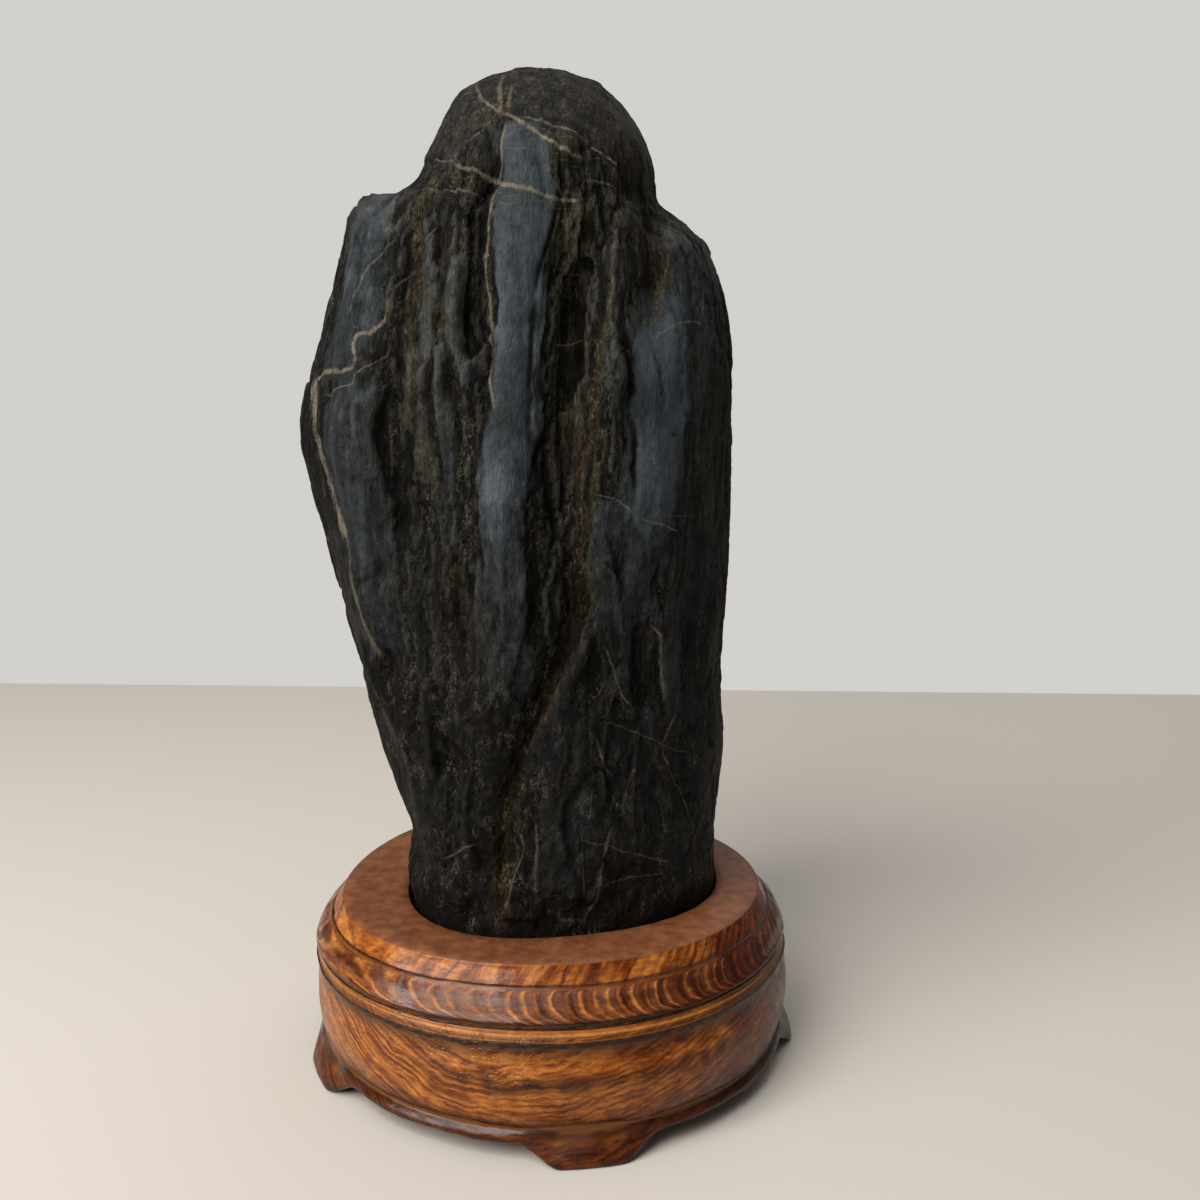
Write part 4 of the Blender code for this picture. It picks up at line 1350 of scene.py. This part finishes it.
@dataclass(frozen=True)
class SlateFinish:
    """Slaty limestone, water-worn and oiled: near-black blue-grey stone with a low, soft sheen."""

    fibre_stretch: float = 0.16     # a fibre's width against its length, above the split line
    foot_stretch: float = 0.32      # and how much shorter it is below it
    rough: float = 0.72             # roughness of split ground, and of worn ground
    sheen: float = 0.45
    glint: float = 0.12

    def patterns(self, put: partial) -> dict[str, Socket]:
        """Lay out what the colours share: patterns in millimetres, and what the skin stores.

        Args:
            put: adds a node to the stone's tree.

        Returns:
            The patterns by name.
        """
        place = put("ShaderNodeTexCoord", output="Object")
        flat = put(STRETCH, {"Vector": place, "Scale": (1e3, 1e3, 1e3)})
        leaning = put(STRETCH, {"Vector": flat, "Scale": (1.0, 1.0, 0.5)})
        across, away, height = put(SPLIT, (flat,)).node.outputs
        # the fibres run long above, and are cut shorter towards the foot
        below = put(MATH, (put(MATH, (height, SPLIT_LINE), **MINUS), 0.0), operation="MINIMUM")
        long = put(MATH, (height, self.fibre_stretch), **TIMES)
        long = put(MATH, (below, self.foot_stretch, long), **TIMES_ADD)
        upright = put("ShaderNodeCombineXYZ", (across, away, long))
        smooth, rust, olive = put(SPLIT, (
            put(READ, (), "Vector", attribute_name="ground"),
        )).node.outputs
        hollow, fine, deep = put(SPLIT, (
            put(READ, (), "Vector", attribute_name="form"),
        )).node.outputs
        found = {
            "flat": flat, "upright": upright, "leaning": leaning, "across": across,
            "height": height, "smooth": smooth, "rust": rust, "olive": olive, "hollow": hollow,
            "fine": fine, "deep": deep
        }
        for name, drawn, size, detail in STONE_PATTERNS:
            found[name] = put(NOISE, {
                "Vector": found[drawn], "Scale": 1.0 / size, "Detail": detail, "Roughness": 0.6
            })
        return found

    def ground(self, put: partial, at: dict[str, Socket]) -> Socket:
        """Paint bare stone: worn ground, split ground with painted shade and highlights, and the
        brown dome.

        Args:
            put: adds a node to the stone's tree.
            at: the shared patterns.

        Returns:
            The ground's colour.
        """
        tone = put(MATH, (at["hair"], 0.05, at["cloud"]), **TIMES_ADD)
        tone = put(MATH, (at["crust"], 0.29, tone), **TIMES_ADD)
        # worn ground's blue-grey is partly the stone's own tone and partly a painted bluish
        # reflection
        worn = put(RAMP, (tone,), stops=[(0.5, "#23292b"), (0.67, "#343b41"), (0.82, "#454e56")])
        rough = put(RAMP, (tone,), stops=[(0.5, "#060706"), (0.67, "#0d0e0d"), (0.82, "#181916")])
        ragged = put(MATH, (at["patch"], 1.0, -0.5), **TIMES_ADD)
        ragged = put(MATH, (ragged, 0.35), **MINUS)
        ragged = put(MATH, (at["crust"], 0.7, ragged), **TIMES_ADD)
        ragged = put(MATH, (at["smooth"], ragged))
        bare = put(MAP, (ragged, 0.4, 1.12), **EASED)
        color = put(MIX, {0: bare, 6: rough, 7: worn}, 2, **COLOR)
        # painted shade makes the hollows between the fibres black; a painted highlight lights their
        # lips
        level = put(MATH, (at["fibre"], 2.6, -1.3), **TIMES_ADD)
        level = put(MATH, (at["hollow"], 0.55, level), **TIMES_ADD)
        level = put(MATH, (at["hair"], 0.8, level), **TIMES_ADD)
        level = put(MATH, (bare, 1.3, level), **TIMES_ADD)
        dark = put(MAP, (level, 0.75, -0.1, 0.0, 0.96), **EASED)
        color = put(MIX, {0: dark, 6: color, 7: "#040302"}, 2, **COLOR)
        cut = put(READ, (), "Fac", attribute_name="drawn")
        # painted shade in the drawn cracks and in small pits
        dark = put(MAP, (cut, -0.25, -1.2, 0.0, 0.85), **EASED)
        pit = put(MAP, (at["fleck"], 0.38, 0.3, 0.0, 0.6), **EASED)
        for share in (dark, pit):
            color = put(MIX, {0: share, 6: color, 7: "#050403"}, 2, **COLOR)
        # painted highlight on proud fibres and raised drawn ridges
        lip = put(MATH, (
            put(MAP, (at["fine"], 0.03, 0.22, 0.0, 0.36), **EASED),
            put(MAP, (cut, 0.25, 0.9, 0.0, 0.3), **EASED)
        ), **LARGER)
        lip = put(MATH, (lip, at["fleck"]), **TIMES)
        color = put(MIX, {0: lip, 6: color, 7: "#5d5a4e"}, 2, **COLOR)
        crust = put(RAMP, (at["crust"],), stops=[
            (0.3, "#11110f"), (0.46, "#1e1e1b"), (0.6, "#2b2a24"), (0.78, "#48432f")
        ])
        speck = put(MAP, (at["fleck"], 0.58, 0.7, 0.0, 0.5), **EASED)
        crust = put(MIX, {0: speck, 6: crust, 7: "#6a6350"}, 2, **COLOR)
        dome = put(READ, (), "Fac", attribute_name="dome")
        return put(MIX, {0: dome, 6: color, 7: crust}, 2, **COLOR)

    def stained(self, put: partial, at: dict[str, Socket], color: Socket) -> Socket:
        """Lay iron stain, crust, pale flecks and scratches over the ground, with painted shade in
        its hollows and towards its foot and right flank.

        Args:
            put: adds a node to the stone's tree.
            at: the shared patterns.
            color: the ground's colour.

        Returns:
            The colour with its stains.
        """
        stain = put(MATH, (at["fibre"], 2.1, -0.6), **TIMES_ADD)
        stain = put(MATH, (stain, at["olive"]), **TIMES, use_clamp=True)
        tint = put(RAMP, (at["fleck"],), stops=[
            (0.3, "#1b1912"), (0.5, "#37331f"), (0.72, "#6c6449")
        ])
        color = put(MIX, {0: stain, 6: color, 7: tint}, 2, **COLOR)
        # painted shade in the skin's hollows and deep recesses
        for name, low, high in (("hollow", -0.25, -1.2), ("deep", -0.4, -3.2)):
            shade = put(MAP, (at[name], low, high, 0.0, 0.72))
            color = put(MIX, {0: shade, 6: color, 7: "#0a0805"}, 2, **COLOR)
        # painted shade towards the foot (partly its own browner tone), on the right flank and lower
        # left
        low = put(MATH, (at["cloud"], 40.0, at["height"]), **TIMES_ADD)
        low = put(MAP, (low, 215.0, 120.0, 0.0, 0.7))
        flank = put(MATH, (at["cloud"], 16.0, at["across"]), **TIMES_ADD)
        flank = put(MAP, (flank, 43.0, 54.0, 0.0, 0.75), **EASED)
        left = put(MAP, (at["across"], -26.0, -50.0, 0.0, 0.38), **EASED)
        left = put(MATH, (left, put(MAP, (at["height"], 216.0, 200.0), **EASED)),
                   **TIMES)
        for share in (flank, left):
            low = put(MATH, (low, share), **LARGER)
        color = put(MIX, {0: low, 6: color, 7: "#070504"}, 2, **COLOR)
        stain = put(MATH, (at["fibre"], 2.6, -0.7), **TIMES_ADD)
        stain = put(MATH, (stain, at["rust"]), **TIMES, use_clamp=True)
        tint = put(RAMP, (at["fleck"],), stops=[
            (0.3, "#0e0a06"), (0.5, "#271c10"), (0.72, "#574227")
        ])
        color = put(MIX, {0: stain, 6: color, 7: tint}, 2, **COLOR)
        scattered = put(MAP, (at["patch"], 0.46, 0.66), **EASED)
        held = put(MATH, (at["smooth"], -0.75, 1.0), **TIMES_ADD)
        scattered = put(MATH, (scattered, held), **TIMES)
        low = put(MAP, (at["height"], 140.0, 100.0, 1.0, 1.7))
        scattered = put(MATH, (scattered, low), **TIMES)
        fleck = put(MATH, (
            put(MAP, (at["fleck"], 0.66, 0.75, 0.0, 0.5), **EASED),
            put(MAP, (at["dash"], 0.61, 0.7, 0.0, 0.55), **EASED)
        ), **LARGER)
        fleck = put(MATH, (fleck, scattered), **TIMES)
        color = put(MIX, {0: fleck, 6: color, 7: "#6e6a5b"}, 2, **COLOR)
        line = put(MATH, (at["scratch"], 0.5), **MINUS)
        line = put(MATH, (line,), **ABSOLUTE)
        line = put(MAP, (line, 0.014, 0.002, 0.0, 0.6), **EASED)
        line = put(MATH, (line, scattered), **TIMES)
        return put(MIX, {0: line, 6: color, 7: "#6a6452"}, 2, **COLOR)

    def veined(self, put: partial, at: dict[str, Socket], color: Socket) -> Socket:
        """Draw the calcite and ochre veins, frayed at their edges and broken here and there.

        Args:
            put: adds a node to the stone's tree.
            at: the shared patterns.
            color: the stained colour.

        Returns:
            The colour with its veins.
        """
        solid = put(MATH, (at["gap"], 2.6, -0.45), **TIMES_ADD, use_clamp=True)
        low = put(MAP, (at["height"], 150.0, 110.0, 1.0, 0.55))
        solid = put(MATH, (solid, low), **TIMES)
        jag = put(MATH, (at["jag"], 2.8, -1.4), **TIMES_ADD)
        for number in range(VEIN_CHANNELS):
            aside, strength, tint = put(SPLIT, (
                put(READ, (), "Vector", attribute_name=f"vein_{number}"),
            )).node.outputs
            gap = put(MATH, (put(MATH, (aside,), **ABSOLUTE), jag))
            share = put(MAP, (gap, 1.35, 0.2), **EASED)
            share = put(MATH, (share, solid), **TIMES)
            share = put(MATH, (share, strength), **TIMES, use_clamp=True)
            mineral = put(MIX, {0: tint, 6: "#716c5e", 7: "#5f5341"}, 2, **COLOR)
            color = put(MIX, {0: share, 6: color, 7: mineral}, 2, **COLOR)
        return color

    def material(self) -> bpy.types.Material:
        """Build the stone's material.

        Returns:
            The material.
        """
        # split ground is matt and almost black; worn ground is blue-grey, partly its own tone and
        # partly a painted bluish reflection, with a low, oily sheen
        stone = bpy.data.materials.new("Slaty limestone, worn and oiled")
        stone.use_nodes = True
        tree = stone.node_tree
        tree.nodes.clear()
        put = partial(add, tree)
        at = self.patterns(put)
        color = self.veined(put, at, self.stained(put, at, self.ground(put, at)))
        crack = put(MATH, (at["fibre"], 0.5), **MINUS)
        crack = put(MATH, (crack,), **ABSOLUTE)
        crack = put(MAP, (crack, 0.0, 0.05), **EASED)
        split = put(MATH, (at["smooth"], -0.85, 1.0), **TIMES_ADD)
        relief = put(MATH, (crack, split), **TIMES)
        relief = put(MATH, (at["fleck"], 0.6, relief), **TIMES_ADD)
        shader = put("ShaderNodeBsdfPrincipled", {
            "Base Color": color,
            "Roughness": put(MAP, (at["smooth"], 0.0, 1.0, self.rough, self.sheen)),
            "Normal": put("ShaderNodeBump", {
                "Strength": 0.7, "Distance": 0.0008, "Height": relief
            }), "Specular IOR Level": self.glint
        })
        tree.links.new(shader, tree.nodes.new("ShaderNodeOutputMaterial").inputs[0])
        return stone


@dataclass(frozen=True)
class StainedWoodFinish:
    """Close-grained hardwood, stained red-brown, varnished and rubbed: warm, broken gloss."""

    ring_spacing: float = 3.2       # millimetres from one growth ring to the next, cut across
    sheet_spacing: float = 1.7      # and where the cut runs nearly along them
    ring_way: tuple[float, float, float] = (0.82, 0.57, 0.0)
    scallops: tuple[float, float] = (4.8, 8.15)     # places down the moulding of the stepped band
    body_from: float = 9.7
    matt: float = 0.42              # roughness where the varnish is rubbed, and where it shines
    gloss: float = 0.22
    rim_matt: float = 0.5

    def patterns(self, put: partial) -> dict[str, Socket]:
        """Lay out what the colours share: patterns in millimetres, and what the carving stores.

        Args:
            put: adds a node to the wood's tree.

        Returns:
            The patterns by name.
        """
        place = put("ShaderNodeTexCoord", output="Object")
        flat = put(STRETCH, {"Vector": place, "Scale": (1e3, 1e3, 1e3)})
        fine = put(STRETCH, {"Vector": flat, "Scale": (0.35, 0.35, 1.3)})
        x, y, z = put(SPLIT, (flat,)).node.outputs
        found = {"flat": flat, "fine": fine, "x": x, "y": y, "z": z}
        for name in ("band", "edge", "swell"):
            found[name] = put(READ, (), "Fac", attribute_name=name)
        for name, drawn, size, detail in WOOD_PATTERNS:
            found[name] = put(NOISE, {
                "Vector": found[drawn], "Scale": 1.0 / size, "Detail": detail, "Roughness": 0.55
            })
        found["across"] = put(VECTOR, (flat, self.ring_way), "Value", operation="DOT_PRODUCT")
        low, high = self.scallops
        found["step"] = put(MATH, (
            put(MAP, (found["band"], low - 0.2, low + 0.2), **EASED),
            put(MAP, (found["band"], high + 0.25, high - 0.25), **EASED)
        ), **TIMES)
        found["body"] = put(MAP, (
            found["band"], self.body_from - 0.3, self.body_from + 0.3
        ), **EASED)
        found["rim"] = put(MAP, (found["band"], 1.4, 0.6), **EASED)
        return found

    def rings(self, put: partial, at: dict[str, Socket]) -> Socket:
        """Count growth rings through the wood, bent the way each band of the carving cuts them.

        Args:
            put: adds a node to the wood's tree.
            at: the shared patterns.

        Returns:
            A number that passes a whole number at each ring.
        """
        # the step's rings bow to the left, and the fascia's lean to the right
        bow = put(MATH, (at["band"], 6.2), **MINUS)
        bow = put(MATH, (put(MATH, (bow, 2.0), operation="POWER"), -1.5), **TIMES)
        lean = put(MATH, (at["z"], -1.0), **TIMES)
        run = put(MATH, (at["across"], put(MIX, {0: at["step"], 2: lean, 3: bow})))
        run = put(MATH, (run, self.ring_spacing), operation="DIVIDE")
        run = put(MATH, (at["broad"], 1.6, run), **TIMES_ADD)
        # the body's rings hang in a bowl round its left front
        aside = put(MATH, (at["x"], 15.0))
        hang = at["z"]
        for operation, bend in (("MINIMUM", -0.011), ("MAXIMUM", -0.0042)):
            half = put(MATH, (aside, 0.0), operation=operation)
            half = put(MATH, (half, 2.0), operation="POWER")
            hang = put(MATH, (half, bend, hang), **TIMES_ADD)
        hang = put(MATH, (hang, self.sheet_spacing), operation="DIVIDE")
        hang = put(MATH, (at["broad"], 4.5, hang), **TIMES_ADD)
        return put(MIX, {0: at["body"], 2: run, 3: hang})

    def timber(self, put: partial, at: dict[str, Socket], rings: Socket) -> Socket:
        """Paint the bare timber: honey rings, scallops on the step, long fibres, stain and painted
        shade.

        Args:
            put: adds a node to the wood's tree.
            at: the shared patterns.
            rings: the count of growth rings.

        Returns:
            The timber's colour.
        """
        ring = put(MATH, (at["wander"], 0.3, rings), **TIMES_ADD)
        ring = put(MATH, (ring,), operation="FRACT")
        honey = put(RAMP, (ring,), stops=[
            (0.0, "#ad6828"), (0.3, "#ba722b"), (0.62, "#a05c20"), (0.9, "#6c3713"),
            (1.0, "#96561f")
        ])
        plain = put(RAMP, (at["mottle"],), stops=[
            (0.3, "#8d4f1d"), (0.5, "#b16a29"), (0.68, "#c98136")
        ])
        figured = put(MAP, (at["figure"], 0.35, 0.62, 0.2, 0.85), **EASED)
        color = put(MIX, {0: figured, 6: plain, 7: honey}, 2, **COLOR)
        scallop = put(RAMP, (ring,), stops=[
            (0.0, "#bd7c3c"), (0.16, "#a9672f"), (0.27, "#6b3a20"), (0.8, "#7a4526"),
            (1.0, "#ad6c2f")
        ])
        # round the left the scallops run out into plain wood
        met = put(MAP, (at["across"], -73.0, -66.0), **EASED)
        met = put(MATH, (met, at["step"]), **TIMES)
        color = put(MIX, {0: met, 6: color, 7: scallop}, 2, **COLOR)
        long = put(NOISE, {
            "Vector": put("ShaderNodeCombineXYZ", (
                put(MATH, (rings, 1.3), **TIMES),
                put(MATH, (at["across"], 0.09), **TIMES),
                put(MATH, (at["y"], 0.05), **TIMES)
            )), "Scale": 1.0, "Detail": 5.0, "Roughness": 0.62
        })
        for pattern, share, stops in (
            (at["streak"], 0.7, [(0.3, "#8a7b70"), (0.6, "#ffffff")]),
            (long, 0.85, [(0.33, "#6e4a33"), (0.44, "#b99474"), (0.54, "#ffffff")])
        ):
            tint = put(RAMP, (pattern,), stops=stops)
            color = put(MIX, {0: share, 6: color, 7: tint}, 2, blend_type="MULTIPLY", **COLOR)
        # painted shade: darker to the right, away from the light, partly a heavier stain there;
        # painted shade on the lip and feet
        right = put(MATH, (at["x"], 0.011), **TIMES)
        right = put(MATH, (at["broad"], 2.2, right), **TIMES_ADD)
        right = put(MAP, (right, 1.0, 1.95, 0.0, 0.95), **EASED)
        foot = put(MATH, (at["mottle"], 6.0, at["z"]), **TIMES_ADD)
        foot = put(MATH, (
            put(MAP, (foot, 18.5, 11.5, 0.0, 0.9), **EASED),
            put(MAP, (at["band"], 17.6, 19.0, 0.0, 0.95), **EASED)
        ), **LARGER)
        for share, tint in ((right, "#a06a38"), (foot, "#8f7460")):
            color = put(MIX, {0: share, 6: color, 7: tint}, 2, blend_type="MULTIPLY", **COLOR)
        rim = put(RAMP, (at["mottle"],), stops=[
            (0.3, "#5d3621"), (0.5, "#724429"), (0.7, "#865435")
        ])
        return put(MIX, {0: at["rim"], 6: color, 7: rim}, 2, **COLOR)

    def worn(self, put: partial, at: dict[str, Socket], color: Socket) -> Socket:
        """Paint shade into the grooves and hollows, paint a highlight on the edges and bead, and
        open pores.

        Args:
            put: adds a node to the wood's tree.
            at: the shared patterns.
            color: the timber's colour.

        Returns:
            The finished colour.
        """
        # painted shade: darker in the grooves, the cove, the tuck under the bulge and in hollow
        # ground
        groove_shade = put(MATH, (
            put(MAP, (at["edge"], -0.012, -0.1, 0.0, 0.85), **EASED),
            put(MAP, (at["swell"], -0.3, -1.2, 0.0, 0.3), **EASED)
        ), use_clamp=True)
        lines = []
        for middle, width, depth in (*GROOVES, BEAD):
            aside = put(MATH, (at["band"], middle), **MINUS)
            aside = put(MATH, (aside,), **ABSOLUTE)
            lines.append(put(MAP, (aside, width, width * 0.2, 0.0, depth), **EASED))
        *grooves, bead = lines
        for groove in grooves:
            groove_shade = put(MATH, (groove_shade, groove), **LARGER)
        uneven = put(MATH, (at["streak"], 1.2, 0.4), **TIMES_ADD)
        groove_shade = put(MATH, (groove_shade, uneven), **TIMES, use_clamp=True)
        below = put(MATH, (1.0, at["rim"]), **MINUS)
        groove_shade = put(MATH, (groove_shade, below), **TIMES)
        color = put(MIX, {0: groove_shade, 6: color, 7: "#1a0c05"}, 2, **COLOR)
        # painted highlight on proud edges and on the bead
        rubbed = put(MATH, (put(MAP, (at["edge"], 0.012, 0.09, 0.0, 0.5), **EASED), bead))
        uneven = put(MATH, (at["streak"], 0.3))
        rubbed = put(MATH, (rubbed, uneven), **TIMES, use_clamp=True)
        clear = put(MATH, (1.0, groove_shade), **MINUS)
        rubbed = put(MATH, (rubbed, clear), **TIMES)
        color = put(MIX, {0: rubbed, 6: color, 7: "#c07f3c"}, 2, **COLOR)
        pore = put(MAP, (at["pore"], 0.7, 0.78, 0.0, 0.7), **EASED)
        return put(MIX, {0: pore, 6: color, 7: "#2a1408"}, 2, **COLOR)

    def material(self) -> bpy.types.Material:
        """Build the wood's material.

        Returns:
            The material.
        """
        # warm red-brown with painted shade in the grooves; the varnish shines in patches, and the
        # rim is matt
        wood = bpy.data.materials.new("Stained hardwood, varnished and rubbed")
        wood.use_nodes = True
        tree = wood.node_tree
        tree.nodes.clear()
        put = partial(add, tree)
        at = self.patterns(put)
        color = self.worn(put, at, self.timber(put, at, self.rings(put, at)))
        # the body's varnish has crazed in patches
        crazing = put("ShaderNodeTexVoronoi", {
            "Vector": put(VECTOR, (at["flat"], put(NOISE, {
                "Vector": at["flat"], "Scale": 0.5
            }, "Color"))), "Scale": 0.7
        }, "Distance", feature="DISTANCE_TO_EDGE")
        crazed = put(MAP, (crazing, 0.12, 0.0), **EASED)
        for share in (
            put(MAP, (at["polish"], 0.4, 0.56), **EASED), at["body"],
            put(MAP, (at["band"], 16.5, 15.0), **EASED),
            put(MAP, (at["x"], 0.0, -22.0, 0.25, 1.0), **EASED)
        ):
            crazed = put(MATH, (crazed, share), **TIMES)
        relief = put(MATH, (at["streak"], 0.8), **TIMES)
        relief = put(MATH, (at["wander"], 0.4, relief), **TIMES_ADD)
        relief = put(MATH, (relief, crazed), **MINUS)
        gloss = put(MAP, (at["polish"], 0.4, 0.6, self.matt, self.gloss), **EASED)
        gloss = put(MIX, {0: at["rim"], 2: gloss, 3: self.rim_matt})
        shader = put("ShaderNodeBsdfPrincipled", {
            "Base Color": color, "Roughness": gloss, "Normal": put("ShaderNodeBump", {
                "Strength": 0.5, "Distance": 0.0003, "Height": relief
            }), "Coat Weight": 0.05, "Coat Roughness": 0.2, "Specular IOR Level": 0.28
        })
        tree.links.new(shader, tree.nodes.new("ShaderNodeOutputMaterial").inputs[0])
        return wood


@dataclass
class Studio:
    """A pale floor, soft light from the upper left and the camera."""

    eye: tuple[float, float, float] = (11.79, -386.36, 215.0)
    tilt: float = 77.83
    roll: float = 0.547
    lens: float = 42.0
    ambient: float = 0.16
    backdrop: float = 0.7
    reach: float = 620.0
    table_end: float = 373.0
    aim: tuple[float, float, float] = (0.0, 0.0, 130.0)

    def camera(self) -> None:
        """Set the camera where the view is taken from."""
        data = bpy.data.cameras.new("camera")
        data.lens = self.lens
        data.sensor_width = 36.0
        data.clip_start = 0.01
        view = bpy.data.objects.new("camera", data)
        turn = Matrix.Rotation(math.radians(self.tilt), 4, "X") @ Matrix.Rotation(
            math.radians(self.roll), 4, "Z"
        )
        view.matrix_world = Matrix.Translation(Vector(self.eye) * MM) @ turn
        bpy.context.scene.collection.objects.link(view)
        bpy.context.scene.camera = view

    def light(self, name: str, place: tuple[float, float, float], size: float, power: float,
              tint: str = "#ffffff") -> None:
        """Hang a soft panel that faces the stone.

        Args:
            name: the light's name.
            place: where it hangs, in millimetres.
            size: the panel's side, in millimetres.
            power: its power in watts.
            tint: its colour.
        """
        data = bpy.data.lights.new(name, "AREA")
        data.shape = "SQUARE"
        data.size = size * MM
        data.energy = power
        data.color = linear(tint)[:3]
        lamp = bpy.data.objects.new(name, data)
        lamp.location = Vector(place) * MM
        way = Vector(self.aim) * MM - lamp.location
        lamp.rotation_euler = way.to_track_quat("-Z", "Y").to_euler()
        bpy.context.scene.collection.objects.link(lamp)

    def floor(self) -> None:
        """Lay the floor, a broad pale sheet."""
        paper = bpy.data.materials.new("Pale matt paper")
        paper.use_nodes = True
        shader = paper.node_tree.nodes["Principled BSDF"]
        shader.inputs["Base Color"].default_value = linear("#c6c1b9")
        shader.inputs["Roughness"].default_value = 0.85
        corners = np.array([
            (x, y, 0.0) for x, y in ((-self.reach, -self.reach), (self.reach, -self.reach),
                                     (self.reach, self.table_end), (-self.reach, self.table_end))
        ])
        sheet = new_piece("floor", corners, [(0, 1, 2, 3)], paper)

    def world(self) -> None:
        """Surround the scene with a pale wall that lights it only faintly."""
        world = bpy.data.worlds.new("studio")
        world.use_nodes = True
        tree = world.node_tree
        seen = add(tree, "ShaderNodeLightPath", output="Is Camera Ray")
        strength = add(tree, "ShaderNodeMapRange", {
            "Value": seen, "To Min": self.ambient, "To Max": self.backdrop
        })
        back = tree.nodes["Background"]
        back.inputs["Color"].default_value = linear("#f6f4f0")
        tree.links.new(strength, back.inputs["Strength"])
        bpy.context.scene.world = world

    def build(self) -> None:
        """Set the camera, the lights and the floor."""
        self.camera()
        self.light("key", (-430.0, -560.0, 760.0), 640.0, 11.5, "#fffaf4")
        self.light("window", (-760.0, -440.0, 330.0), 260.0, 2.8, "#fffaf4")
        self.light("back", (380.0, 640.0, 700.0), 800.0, 1.8, "#fff8f0")
        self.light("top", (-120.0, 40.0, 1300.0), 1300.0, 5.0, "#fbfaff")
        self.world()
        self.floor()
        bpy.context.scene.view_settings.view_transform = "Standard"


def main() -> None:
    """Build the studio, the stand and the rock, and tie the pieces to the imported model."""
    logging.basicConfig(level=logging.INFO, format="%(name)s: %(message)s")
    Studio().build()
    stand = CarvedStand(StainedWoodFinish()).build()
    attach(stand, "root")
    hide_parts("stand")
    log.info("stand: %d faces", len(stand.data.polygons))
    rock = Rock(SlateFinish()).build()
    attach(rock, "root")
    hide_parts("rock")
    log.info("rock: %d faces", len(rock.data.polygons))
    bpy.context.view_layer.update()


if __name__ == "__main__":
    main()
